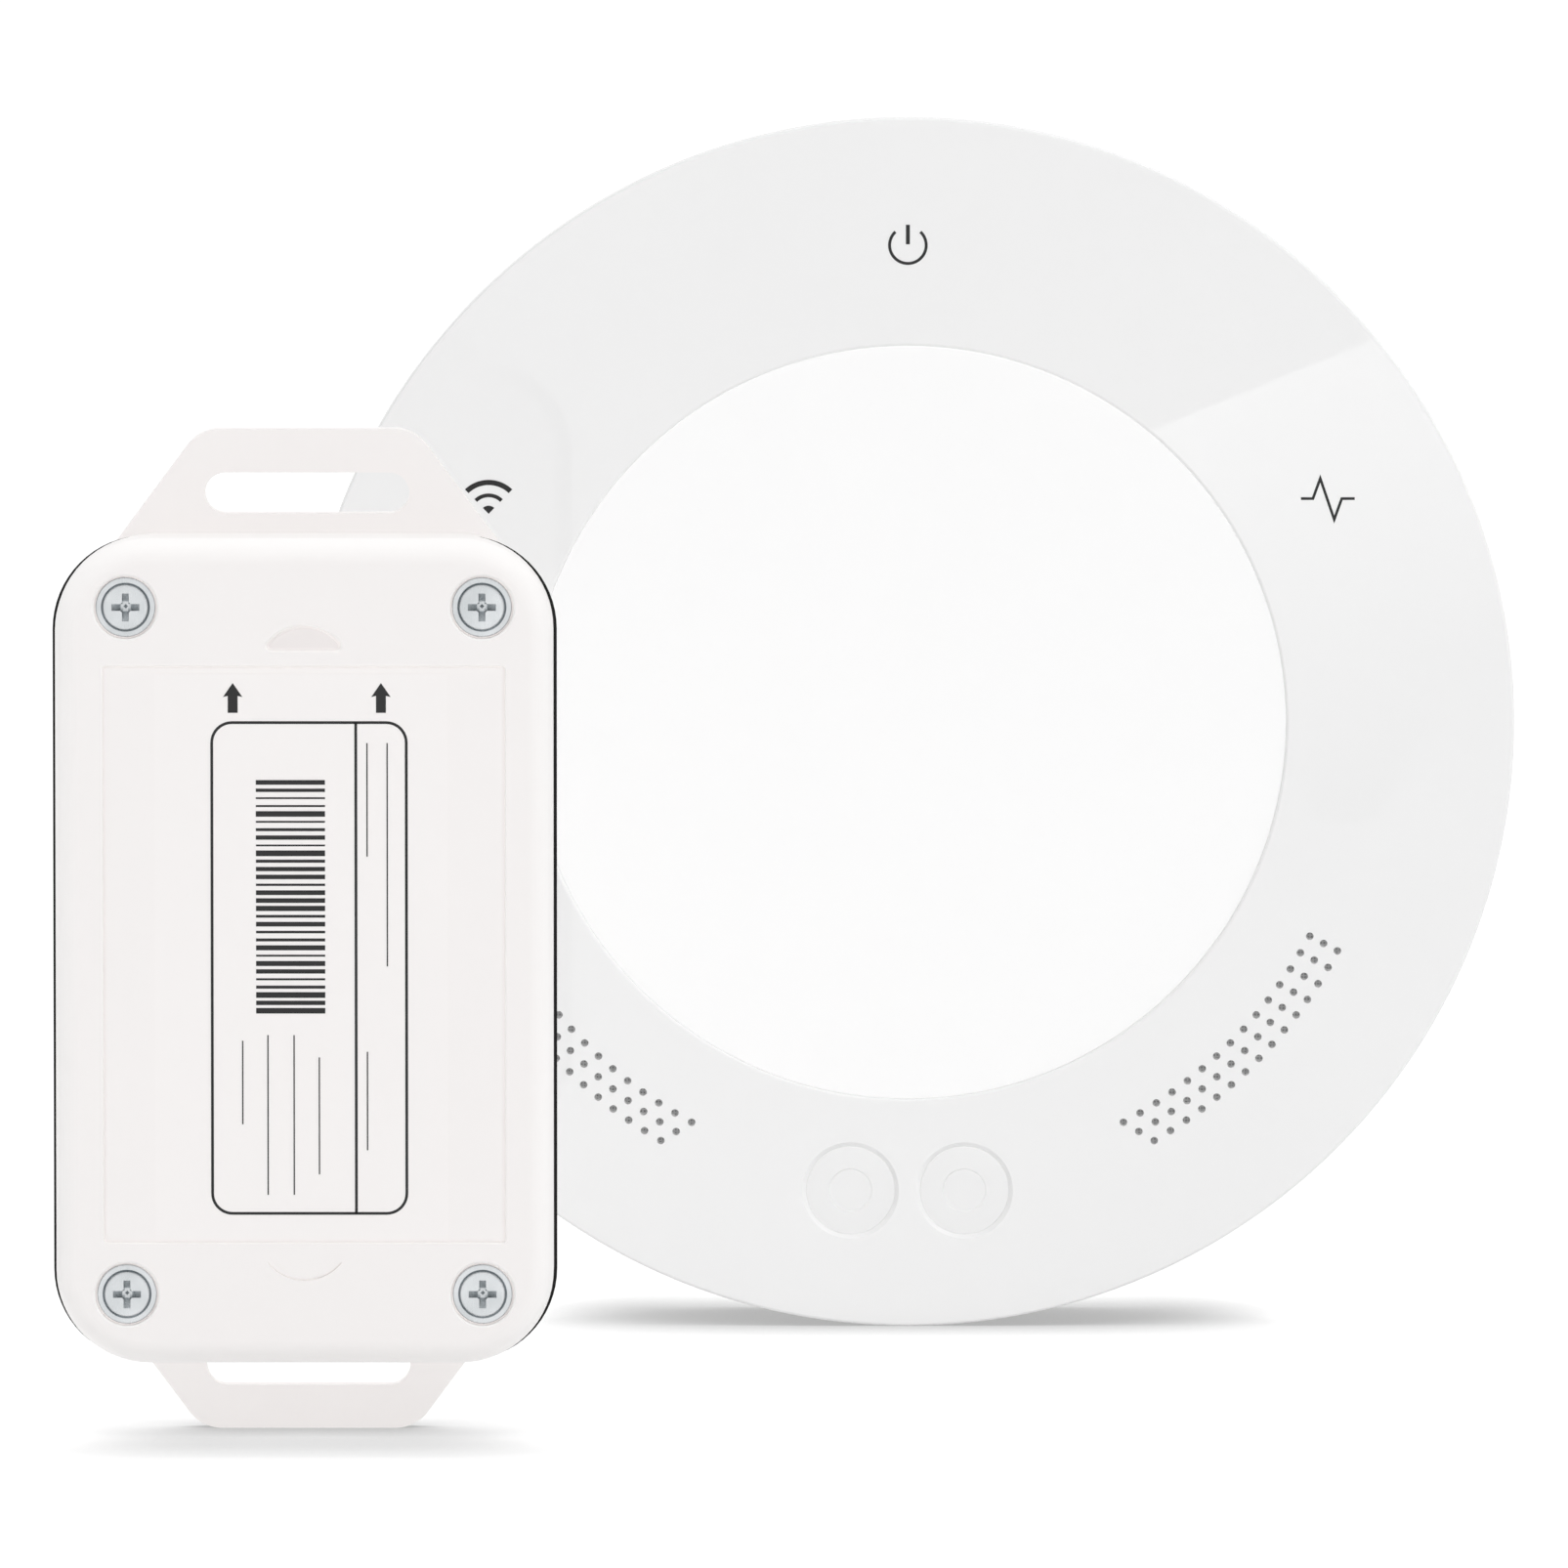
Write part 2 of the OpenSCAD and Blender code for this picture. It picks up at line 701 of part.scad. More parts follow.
module centre_disc() {
  color("white") on_wall() {
    translate([0, 0, plate_front])
      rotate_extrude() edge_section(bore_r - disc_gap, disc_face - plate_front, disc_edge_r);
    at_pegs() translate([0, 0, plate_back - root]) cylinder(d = peg_d, h = shell_wall + 2 * root);
  }
}

module fascia_tape() {
  color("gainsboro") on_wall() difference() {
    translate([0, 0, plate_front]) tube(rim_r - root, bore_r + root, tape_t);
    both_sides() translate([0, 0, plate_front - cut]) grille_sector(cloth_lap + loose, tape_t + 2 * cut);
    for (side = [-1, 1]) at_button(side)
      translate([0, 0, plate_front - cut]) cylinder(r = flange_r + loose, h = tape_t + 2 * cut);
    for (k = [0:2]) at_light(k)
      translate([0, 0, plate_front - cut]) cylinder(d = pipe_d + 2 * loose, h = tape_t + 2 * cut);
  }
}

module cloth(side)
  color("dimgray") on_wall() mirror([side < 0 ? 1 : 0, 0, 0])
    translate([0, 0, plate_front]) grille_sector(cloth_lap, tape_t);

module speaker_box(inset, from, h)
  box_on(0, 0, speaker_front - from, [speaker_w - 2 * inset, speaker_l - 2 * inset, h]);

module speaker(side) {
  magnet_w = speaker_w - 2 * speaker_lap;
  color("dimgray") on_wall() at_speaker(side) {
    difference() {
      speaker_box(0, speaker_t, speaker_t);
      speaker_box(speaker_lap, cone_seat, cone_seat + cut);
      speaker_box(1.5 * speaker_lap, cone_seat + cone_room, cone_room + cut);
    }
    box_on(0, 0, speaker_front - speaker_t - cut, [magnet_w, 2 * magnet_w, cut]);
  }
}

module cone(side)
  color("black") on_wall() at_speaker(side) speaker_box(speaker_lap + fit, cone_seat, cone_t);

module gasket(side) {
  color("darkslategray") on_wall() at_speaker(side) difference() {
    speaker_box(0, 0, gasket_t);
    speaker_box(speaker_lap, cut, gasket_t + 2 * cut);
  }
}

module light_pipe(k) {
  color("aliceblue") on_wall() at_light(k) {
    translate([0, 0, led_top + fit]) cylinder(d = pipe_d, h = ring_back - led_top - fit);
    translate([0, 0, plate_back - cut]) cylinder(d = pipe_d + 2, h = cut);
  }
}

// Buttons

module button(side) {
  dimple_r = (dimple_d * dimple_d / 4 + dimple_depth * dimple_depth) / (2 * dimple_depth);
  color("white") on_wall() at_button(side) difference() {
    union() {
      translate([0, 0, flange_back]) cylinder(r = flange_r, h = flange_t);
      translate([0, 0, flange_back]) cylinder(d = button_d, h = cap_face - flange_back);
      translate([0, 0, plunger_top]) cylinder(d = stem_d, h = flange_back - plunger_top + root);
    }
    translate([0, 0, cap_face - dimple_depth + dimple_r]) sphere(dimple_r);
  }
}

module plunger(side)
  color("black") on_wall() at_button(side)
    translate([0, 0, switch_top - plunger_in])
      cylinder(d = plunger_d, h = plunger_top - switch_top + plunger_in);

module switch_body(side) {
  well = plunger_in + button_travel + fit;
  color("dimgray") on_wall() at_button(side) difference() {
    box_on(0, 0, board_front, [switch_w, switch_w, switch_h]);
    translate([0, 0, switch_top - well]) cylinder(d = plunger_d + 2 * fit, h = well + cut);
  }
}

// Hub board and what stands on it

module main_board() {
  color("darkgreen") on_wall() difference() {
    translate([0, 0, board_back]) cylinder(r = board_r, h = board_t);
    at_housing_screws() translate([0, 0, board_back - cut])
      cylinder(d = screw_d + 2 * fit, h = board_t + 2 * cut);
  }
}

module status_leds()
  color("lightyellow") on_wall() for (k = [0:2]) at_light(k) box_on(0, 0, board_front, led_size);

module processor()
  color("black") on_wall() box_on(0, processor_y, board_front, [processor_w, processor_w, processor_h]);

module memory_chips()
  color("black") on_wall() for (y = memory_y) box_on(memory_x, y, board_front, memory_size);

module radio_module()
  color("green") on_wall() box_on(radio_x, radio_y, board_front, [radio_w, radio_v, radio_t]);

module radio_shield() {
  can_w = radio_w - 2 * radio_rim;
  can_v = radio_v - antenna_room - 2 * radio_rim;
  can_y = radio_y - antenna_room / 2;
  color("silver") on_wall() box_on(radio_x, can_y, board_front + radio_t, [can_w, can_v, shield_h]);
}

module relay(k)
  color("white") on_wall() box_on(k * relay_pitch, relay_y, board_front, [relay_w, relay_l, relay_h]);

module capacitors()
  color("slategray") on_wall() for (y = capacitor_y)
    translate([capacitor_x, y, board_front]) cylinder(d = capacitor_d, h = capacitor_h);

module power_inductor()
  color("gray") on_wall() box_on(0, inductor_y, board_front, [inductor_w, inductor_w, inductor_h]);

// Connectors in the wiring bay

module at_poles()
  for (i = [0:pole_count - 1]) translate([terminal_x + (i + 0.5) * pole_pitch, connector_v, 0]) children();

module terminal_block() {
  color("seagreen") on_wall() difference() {
    translate([terminal_x, connector_v - terminal_v, board_back - terminal_h])
      cube([terminal_w, terminal_v, terminal_h]);
    at_poles() {
      box_on(0, -terminal_v, wire_way_w - wire_way / 2, [wire_way, terminal_v, wire_way]);
      translate([0, -terminal_v / 2, board_back - terminal_h - cut])
        cylinder(d = clamp_d + 2 * fit, h = clamp_well + cut);
    }
  }
}

module terminal_screws()
  color("silver") on_wall() at_poles()
    translate([0, -terminal_v / 2, board_back - terminal_h + clamp_well - clamp_h])
      cylinder(d = clamp_d, h = clamp_h);

module at_socket(v)
  translate([jack_x + jack_w / 2, connector_v - jack_l + v, socket_w]) rotate([-90, 0, 0]) children();

module power_inlet() {
  color("black") on_wall() difference() {
    translate([jack_x, connector_v - jack_l, board_back - jack_h]) cube([jack_w, jack_l, jack_h]);
    at_socket(-cut) cylinder(d = socket_d, h = socket_l + cut);
  }
}

module inlet_pin() color("gold") on_wall() at_socket(socket_l - pin_l) cylinder(d = pin_d, h = pin_l);

module housing_screws() {
  color("silver") on_wall() at_housing_screws() {
    translate([0, 0, screw_seat - head_h]) cylinder(d = head_d, h = head_h);
    translate([0, 0, screw_seat - root]) cylinder(d = screw_d, h = screw_l + root);
  }
}

// Sensor case

// Half of a tab's outline, as corners whose outer one is rounded by an arc
module tab_outline() {
  a = tab_root_w / 2;
  b = tab_end_w / 2;
  side = sqrt((a - b) * (a - b) + tab_out * tab_out);
  c = a - (tab_end_r * side + (a - b) * (tab_out - tab_end_r)) / tab_out;
  t = [c + tab_end_r * tab_out / side, tab_out - tab_end_r + tab_end_r * (a - b) / side];
  toe = [a + (a - b) / tab_out * tab_toe, -tab_toe];
  half = [[0, -base_r], [a, -base_r], toe, t, [c, tab_out], [0, tab_out]];
  polygon(half);
  mirror([1, 0]) polygon(half);
  for (s = [-1, 1]) translate([s * c, tab_out - tab_end_r]) circle(tab_end_r);
}

module both_tabs() for (s = [0, 1]) rotate(180 * s) translate([0, base_y / 2, 0]) children();

module sensor_base() {
  color("whitesmoke") on_sensor() difference() {
    union() {
      difference() {
        linear_extrude(base_h) rounded_rect(base_x, base_y, base_r);
        translate([0, 0, case_wall]) linear_extrude(base_h) rounded_rect(inner_w, inner_h, inner_r);
      }
      both_tabs() linear_extrude(tab_t) tab_outline();
      four_corners(case_screw_x, case_screw_y)
        translate([0, 0, case_wall - root]) cylinder(d = base_post_d, h = cover_w - case_wall + root);
      four_corners(sensor_board_x / 2 - tiny_inset, sensor_board_y / 2 - tiny_inset)
        translate([0, 0, case_wall - root])
          cylinder(d = tiny_d + 2.6, h = sensor_board_w - case_wall + root);
    }
    both_tabs() translate([0, tab_out - slot_inset, -cut])
      linear_extrude(tab_t + 2 * cut) slot_outline(slot_l, slot_w);
    four_corners(case_screw_x, case_screw_y) translate([0, 0, head_seat - case_screw_l - root])
      cylinder(d = screw_d + 2 * thread_gap, h = case_d);
    four_corners(sensor_board_x / 2 - tiny_inset, sensor_board_y / 2 - tiny_inset)
      translate([0, 0, sensor_board_top - tiny_l - fit]) cylinder(d = tiny_d + 2 * thread_gap, h = case_d);
  }
}

// Segment of a circle, notch_w wide and notch_h high, flat side down
module notch_outline() {
  r = (notch_w * notch_w / 4 + notch_h * notch_h) / (2 * notch_h);
  intersection() {
    translate([0, notch_h - r]) circle(r);
    translate([-notch_w, 0]) square([2 * notch_w, notch_h + cut]);
  }
}

module sensor_cover() {
  color("whitesmoke") on_sensor() difference() {
    union() {
      difference() {
        translate([0, 0, cover_w]) soft_slab(case_w, case_h, case_d - cover_w, case_r, case_edge_r);
        translate([0, 0, cover_w - cut])
          linear_extrude(case_d - case_wall - cover_w + cut) rounded_rect(inner_w, inner_h, inner_r);
      }
      four_corners(case_screw_x, case_screw_y)
        translate([0, 0, cover_w]) cylinder(d = cover_post_d, h = case_d - case_wall - cover_w + root);
    }
    four_corners(case_screw_x, case_screw_y) {
      translate([0, 0, head_seat]) cylinder(d = head_d, h = case_d);
      translate([0, 0, case_d - head_rim_depth]) cylinder(d = head_well_d, h = case_d);
      translate([0, 0, cover_w - cut]) cylinder(d = screw_d + 2 * fit, h = case_d);
    }
    translate([panel_x, panel_y, case_d - panel_depth])
      linear_extrude(panel_depth + cut) square([panel_w, panel_h], center = true);
    for (s = [0, 1]) translate([panel_x, panel_y, case_d - notch_depth]) rotate(180 * s)
      translate([0, panel_h / 2 + notch_gap, 0]) linear_extrude(notch_depth + cut) notch_outline();
  }
}

module sensor_seal() {
  color("black") on_sensor() translate([0, 0, base_h]) linear_extrude(seal_t) difference() {
    rounded_rect(case_w + 2 * seal_proud, case_h - 2 * seal_back, case_r);
    rounded_rect(inner_w, inner_h, inner_r);
    four_corners(case_screw_x, case_screw_y) circle(d = base_post_d + 2 * fit);
  }
}

module sensor_label()
  color("ghostwhite") on_sensor()
    box_on(panel_x, panel_y, case_d - panel_depth, [label_w, panel_h - 2 * label_gap, label_t]);

module sensor_screws() {
  color("silver") on_sensor() four_corners(case_screw_x, case_screw_y) {
    translate([0, 0, head_seat]) cylinder(d = head_d - 2 * fit, h = head_h);
    translate([0, 0, head_seat - case_screw_l]) cylinder(d = screw_d, h = case_screw_l + root);
  }
}

// Sensor inside

module at_tiny_screws()
  four_corners(sensor_board_x / 2 - tiny_inset, sensor_board_y / 2 - tiny_inset) children();

module sensor_board() {
  color("darkgreen") on_sensor() difference() {
    box_on(0, 0, sensor_board_w, [sensor_board_x, sensor_board_y, sensor_board_t]);
    at_tiny_screws() translate([0, 0, sensor_board_w - cut])
      cylinder(d = tiny_d + 2 * fit, h = sensor_board_t + 2 * cut);
  }
}

module sensor_board_screws() {
  color("silver") on_sensor() at_tiny_screws() {
    translate([0, 0, sensor_board_top]) cylinder(d = tiny_head_d, h = tiny_head_h);
    translate([0, 0, sensor_board_top - tiny_l]) cylinder(d = tiny_d, h = tiny_l + root);
  }
}

module at_cell(w) translate([cell_x, cell_up, w]) children();

module cell_holder()
  color("black") on_sensor() at_cell(sensor_board_top) cylinder(d = holder_d, h = holder_t);

module coin_cell() color("silver") on_sensor() at_cell(cell_w) cylinder(d = cell_d, h = cell_t);

module cell_clip() {
  span = clip_leg + clip_t;
  leg_h = cell_w + cell_t - sensor_board_top + clip_t / 2;
  color("lightgray") on_sensor() at_cell(0) {
    box_on(0, 0, cell_w + cell_t, [clip_w, 2 * span, clip_t]);
    for (s = [-1, 1])
      box_on(0, s * (clip_leg + clip_t / 2), sensor_board_top, [clip_w, clip_t, leg_h]);
  }
}

module at_tilt(v) translate([tilt_x, v, tilt_w]) rotate([-90, 0, 0]) children();

module tilt_can() {
  color("silver") on_sensor() at_tilt(tilt_v) difference() {
    cylinder(d = tilt_d, h = tilt_l);
    translate([0, 0, -cut]) cylinder(d = tilt_bore_d, h = tilt_l - tilt_wall + cut);
  }
}

module tilt_plug() {
  color("black") on_sensor() at_tilt(tilt_v - foot_t) {
    cylinder(d = tilt_d, h = foot_t);
    cylinder(d = tilt_bore_d - 2 * thread_gap, h = foot_t + plug_l);
  }
}

module tilt_ball() color("gold") on_sensor() at_tilt(ball_v) sphere(d = ball_d);

module sensor_radio() {
  color("black") on_sensor() {
    box_on(-chip_w / 4, -cell_up, sensor_board_top, [chip_w, chip_w, chip_h]);
    box_on(chip_w, -cell_up, sensor_board_top, crystal_size);
  }
}

module sensor_antenna() {
  strip = 1.5;
  foil = 0.5;
  color("gold") on_sensor() translate([0, -sensor_board_y / 2 + 3 * strip, sensor_board_top]) {
    translate([-antenna_l / 2, 0, antenna_h]) cube([antenna_l, strip, foil]);
    for (x = [0, 2 * strip]) translate([x - antenna_l / 2, 0, 0]) cube([foil, strip, antenna_h + foil]);
  }
}

rear_housing();
front_housing();
ring_fascia();
centre_disc();
fascia_tape();
cloth(-1);  // cloth_left
cloth(1);  // cloth_right
speaker(-1);  // speaker_left
speaker(1);  // speaker_right
cone(-1);  // cone_left
cone(1);  // cone_right
gasket(-1);  // gasket_left
gasket(1);  // gasket_right
button(-1);  // button_left
button(1);  // button_right
plunger(-1);  // plunger_left
plunger(1);  // plunger_right
switch_body(-1);  // switch_left
switch_body(1);  // switch_right
light_pipe(0);  // light_pipe_top
light_pipe(1);  // light_pipe_left
light_pipe(2);  // light_pipe_right
status_leds();
main_board();
processor();
radio_module();
radio_shield();
memory_chips();
relay(-1);  // relay_1
relay(0);  // relay_2
relay(1);  // relay_3
capacitors();
power_inductor();
terminal_block();
terminal_screws();
power_inlet();
inlet_pin();
housing_screws();
sensor_base();
sensor_cover();
sensor_seal();
sensor_label();
sensor_screws();
sensor_board();
sensor_board_screws();
cell_holder();
coin_cell();
cell_clip();
tilt_can();
tilt_plug();
tilt_ball();
sensor_radio();
sensor_antenna();
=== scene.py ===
# %% [markdown]
# # A garage door controller: wall hub and door sensor
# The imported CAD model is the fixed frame, and this lesson dresses it at the same sizes: smooth skins for what
# shows, printed symbols, real screw heads, and a procedural material on every surface.

# %% Load the frame
import json
import math

import bmesh
import bpy
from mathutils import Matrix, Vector


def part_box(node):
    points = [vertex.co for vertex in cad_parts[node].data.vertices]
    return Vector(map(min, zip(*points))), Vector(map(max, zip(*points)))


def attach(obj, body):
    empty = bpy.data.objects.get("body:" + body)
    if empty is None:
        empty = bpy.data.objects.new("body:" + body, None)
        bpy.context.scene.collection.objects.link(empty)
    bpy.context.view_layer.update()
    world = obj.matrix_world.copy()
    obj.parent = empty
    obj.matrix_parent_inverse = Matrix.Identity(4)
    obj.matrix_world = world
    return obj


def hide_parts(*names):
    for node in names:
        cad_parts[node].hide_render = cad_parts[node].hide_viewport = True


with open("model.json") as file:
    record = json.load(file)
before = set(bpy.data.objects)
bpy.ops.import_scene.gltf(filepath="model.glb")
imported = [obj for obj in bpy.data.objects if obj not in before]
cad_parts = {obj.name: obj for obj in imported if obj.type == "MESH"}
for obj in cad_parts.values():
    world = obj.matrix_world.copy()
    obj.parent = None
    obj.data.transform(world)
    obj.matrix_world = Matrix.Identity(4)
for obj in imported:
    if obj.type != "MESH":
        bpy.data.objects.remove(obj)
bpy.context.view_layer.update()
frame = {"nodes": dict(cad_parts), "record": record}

MM = 0.001
scene = bpy.context.scene
nodes = frame["nodes"]

# %% [markdown]
# ## The camera
# The photograph was taken from far away with a long lens: the sensor stands nearer than the hub and is
# hardly larger for it. An orthographic camera would come close, but a real lens three metres off, looking
# down by less than six degrees, puts both pieces where they are.

# %% Camera
PHOTO_PIXELS = 1605
FOCAL_PIXELS = 27642
SENSOR_WIDTH = 36
CAMERA_PLACE = (-0.01376, -3.0210, 0.2857)
CAMERA_DOWN = 5.585
camera_data = bpy.data.cameras.new("photo_camera")
camera_data.sensor_fit = "HORIZONTAL"
camera_data.sensor_width = SENSOR_WIDTH
camera_data.lens = SENSOR_WIDTH * FOCAL_PIXELS / PHOTO_PIXELS
camera_data.clip_end = 50
camera = bpy.data.objects.new("photo_camera", camera_data)
camera.location = CAMERA_PLACE
camera.rotation_euler = (math.radians(90 - CAMERA_DOWN), 0, 0)
scene.collection.objects.link(camera)
scene.camera = camera
scene.view_settings.view_transform = "Standard"
print("lens", round(camera_data.lens, 1), "mm")

# %% [markdown]
# ## Node sheets
# Materials, the world and the geometry nodes are all node trees. They could be filled node by node with
# plain bpy calls, but a small class with short calls keeps them readable: it adds a node, sets or links its
# inputs, and hands back the output.

# %% Node sheet


class Sheet:
    """A node tree that is filled with short calls."""

    def __init__(self, tree):
        self.tree = tree

    def node(self, kind, inputs=None, **settings):
        made = self.tree.nodes.new(kind)
        for key, value in settings.items():
            setattr(made, key, value)
        for key, value in (inputs or {}).items():
            self.put(value, made.inputs[key])
        return made

    def put(self, value, socket):
        if isinstance(value, bpy.types.NodeSocket):
            self.tree.links.new(value, socket)
        else:
            socket.default_value = value

    def math(self, operation, first, second=0.0):
        made = self.node("ShaderNodeMath", {0: first, 1: second}, operation=operation)
        return made.outputs[0]

    def times(self, first, second):
        return self.math("MULTIPLY", first, second)

    def mix(self, factor, first, second):
        made = self.node("ShaderNodeMix", {0: factor, 6: first, 7: second}, data_type="RGBA")
        return made.outputs[2]

    def spread(self, value, low, high, to_low, to_high):
        made = self.node("ShaderNodeMapRange", {"Value": value, "From Min": low, "From Max": high,
                                                "To Min": to_low, "To Max": to_high})
        return made.outputs["Result"]

    def noise(self, where, scale, detail=2.0, distortion=0.0):
        made = self.node("ShaderNodeTexNoise", {"Vector": where, "Scale": scale, "Detail": detail,
                                                "Distortion": distortion})
        return made.outputs[0]


def new_material(name):
    """Material with an empty tree, and the tree's sheet."""
    material = bpy.data.materials.new(name)
    material.use_nodes = True
    material.node_tree.nodes.clear()
    return material, Sheet(material.node_tree)


# %% [markdown]
# ## Floor and light
# The picture is a product shot on white. More light would clip the white pieces, so the floor is a pale
# plane with some light of its own for the rays that are seen, and goes white where nothing shades it. White
# pieces throw light back and wash out the shade at their feet, so it also darkens where they close it in.

# %% Floor
FLOOR_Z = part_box("ring_fascia")[0].z
FLOOR_REACH = 6.0
FLOOR_CORNERS = [(-1, -1), (1, -1), (1, 1), (-1, 1)]
FLOOR_PALE = (0.8, 0.8, 0.8, 1.0)
FLOOR_SEEN = 0.26
FLOOR_GLOW = 0.82
SHADE = 0.55
SHADE_REACH = 0.013
CLOSED, OPEN = 0.3, 0.99


def seen_rays(sheet):
    """1 for camera, glossy and transmission rays, 0 for the rest."""
    path = sheet.node("ShaderNodeLightPath").outputs
    mirrored = sheet.math("MAXIMUM", path["Is Glossy Ray"], path["Is Transmission Ray"])
    return sheet.math("MAXIMUM", path["Is Camera Ray"], mirrored)


def floor_material():
    material, sheet = new_material("studio_floor")
    seen = seen_rays(sheet)
    # The occlusion node darkens the floor's colour and glow where pieces close it in: a painted shadow at their
    # feet.
    around = sheet.node("ShaderNodeAmbientOcclusion", {"Distance": SHADE_REACH}, samples=4)
    shade = sheet.spread(around.outputs["AO"], CLOSED, OPEN, 1 - SHADE, 1.0)
    pale = sheet.mix(seen, FLOOR_PALE, sheet.times(shade, FLOOR_SEEN))
    paint = sheet.node("ShaderNodeBsdfDiffuse", {"Color": pale})
    lift = sheet.times(sheet.times(seen, shade), FLOOR_GLOW)
    glow = sheet.node("ShaderNodeEmission", {"Strength": lift})
    both = sheet.node("ShaderNodeAddShader", {0: paint.outputs[0], 1: glow.outputs[0]})
    sheet.node("ShaderNodeOutputMaterial", {"Surface": both.outputs[0]})
    return material


def plane(name, corners, material):
    mesh = bpy.data.meshes.new(name)
    mesh.from_pydata(corners, [], [(0, 1, 2, 3)])
    mesh.materials.append(material)
    obj = bpy.data.objects.new(name, mesh)
    scene.collection.objects.link(obj)
    return obj


floor_corners = [(x * FLOOR_REACH, y * FLOOR_REACH, FLOOR_Z) for x, y in FLOOR_CORNERS]
plane("studio_floor", floor_corners, floor_material())
print("floor at", round(FLOOR_Z, 4))

# %% [markdown]
# A dome and a soft top light cast shadows. Fills from all round, one of them up from the white table,
# flatten the faces as a light tent does, and a key from the upper right shades the small dishes. Area lamps
# could do this too, but suns light every piece alike wherever it stands. Of the suns, only the top light
# casts a shadow.

# %% Light
DOME = 0.36
WHITE = (1.0, 1.0, 1.0, 1.0)
SHADOWED = "top_light"
LOW_FILLS = ("left_fill", "table_fill")
SUNS = {"top_light": ((0.0, 0.3, 1.0), 0.25, 60), "camera_fill": ((0.0, -1.0, 0.05), 0.15, 20),
        "wide_fill": ((0.0, -1.0, 0.12), 0.14, 150), "left_fill": ((-1.0, 0.0, 0.1), 0.24, 60),
        "table_fill": ((0.0, 0.0, -1.0), 0.19, 60), "right_fill": ((1.0, 0.0, 0.1), 0.10, 60),
        "back_fill": ((0.0, 1.0, 0.3), 0.25, 90), "key_light": ((0.4, -0.5, 0.7), 0.30, 30)}
world = bpy.data.worlds.new("studio_dome")
world.use_nodes = True
scene.world = world
world.node_tree.nodes.clear()
sky = Sheet(world.node_tree)
soft = sky.node("ShaderNodeBackground", {"Color": WHITE, "Strength": DOME})
white = sky.node("ShaderNodeBackground", {"Color": WHITE, "Strength": 1.0})
choose = sky.node("ShaderNodeMixShader", {0: seen_rays(sky), 1: soft.outputs[0], 2: white.outputs[0]})
sky.node("ShaderNodeOutputWorld", {"Surface": choose.outputs[0]})


def sun(name, towards, level, width):
    """Distant light: the level is how bright it makes a white face that is turned to it."""
    data = bpy.data.lights.new(name, "SUN")
    data.energy = level * math.pi
    data.angle = math.radians(width)
    data.use_shadow = name == SHADOWED
    obj = bpy.data.objects.new(name, data)
    obj.visible_glossy = False
    obj.rotation_euler = Vector(towards).to_track_quat("Z", "Y").to_euler()
    scene.collection.objects.link(obj)
    return obj


suns = {name: sun(name, *values) for name, values in SUNS.items()}
print("dome", DOME, "suns", len(suns))

# %% [markdown]
# The ring is glossy, and its right side mirrors the edge of a soft box. Painting that patch on the ring
# would look wrong from other sides, so a real card is mirrored: it stands low in front of the hub, where
# the ring mirrors the camera, only glossy rays see it, and it is brightest along its upper edge.

# %% Reflected card
PATCH = [(0.020, 0.0295), (0.075, 0.0528), (0.075, 0.0307), (0.0488, -0.0163)]
CARD_Y = -0.60
CARD_LEVEL = 3.6
ring_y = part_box("ring_fascia")[0].y
eye = camera.location
stretch = 1 + (ring_y - CARD_Y) / (ring_y - eye.y)
card_corners = [Vector((eye.x + stretch * (x - eye.x), CARD_Y, eye.z + stretch * (z - eye.z)))
                for x, z in PATCH]
upper_edge = (card_corners[1] - card_corners[0]).normalized()
fall = Vector((upper_edge.z, 0.0, -upper_edge.x))
falls = [fall.dot(corner) for corner in card_corners]
card_paint, card_sheet = new_material("soft_box_card")
card_place = card_sheet.node("ShaderNodeTexCoord").outputs["Object"]
fallen = card_sheet.node("ShaderNodeVectorMath", {0: card_place, 1: fall}, operation="DOT_PRODUCT")
fade = card_sheet.spread(fallen.outputs["Value"], min(falls), max(falls), CARD_LEVEL, 0.0)
card_glow = card_sheet.node("ShaderNodeEmission", {"Strength": fade})
card_sheet.node("ShaderNodeOutputMaterial", {"Surface": card_glow.outputs[0]})
card = plane("soft_box_card", card_corners, card_paint)
card.visible_camera = False
card.visible_diffuse = False
card.visible_transmission = False
card.visible_shadow = False
print("card", CARD_LEVEL, "at", CARD_Y)

# %% [markdown]
# ## Shared effects
# Moulded plastic, coated film, plated metal, cloth and circuit board each have a small-scale structure.
# Image textures could show it, but noises and waves stay sharp at any distance. Each effect is one shader
# group with named inputs, and every material that needs it gives its own values.

# %% Shader group helpers
KINDS = {"colour": "NodeSocketColor", "value": "NodeSocketFloat"}
SURFACE = [("Colour", "colour"), ("Roughness", "value"), ("Height", "value")]


def new_group(name, inputs):
    tree = bpy.data.node_groups.new(name, "ShaderNodeTree")
    for label, kind in inputs:
        tree.interface.new_socket(label, in_out="INPUT", socket_type=KINDS[kind])
    for label, kind in SURFACE:
        tree.interface.new_socket(label, in_out="OUTPUT", socket_type=KINDS[kind])
    sheet = Sheet(tree)
    entry = sheet.node("NodeGroupInput")
    leave = sheet.node("NodeGroupOutput")
    place = sheet.node("ShaderNodeTexCoord").outputs["Object"]
    return sheet, entry.outputs, leave.inputs, place


# %% [markdown]
# Moulded plastic has a fine spark-eroded grain, a tone that drifts a little over the part, and patches that
# handling has smoothed. Three noises at three scales give these. Faces that lean at its edges get a painted
# highlight, and the floor of a recess gets painted shade: an attribute of the mesh says where, above and
# below zero, because it follows the real faces.

# %% Moulded skin
DRIFT_SCALE, HANDLED_SCALE = 38.0, 95.0


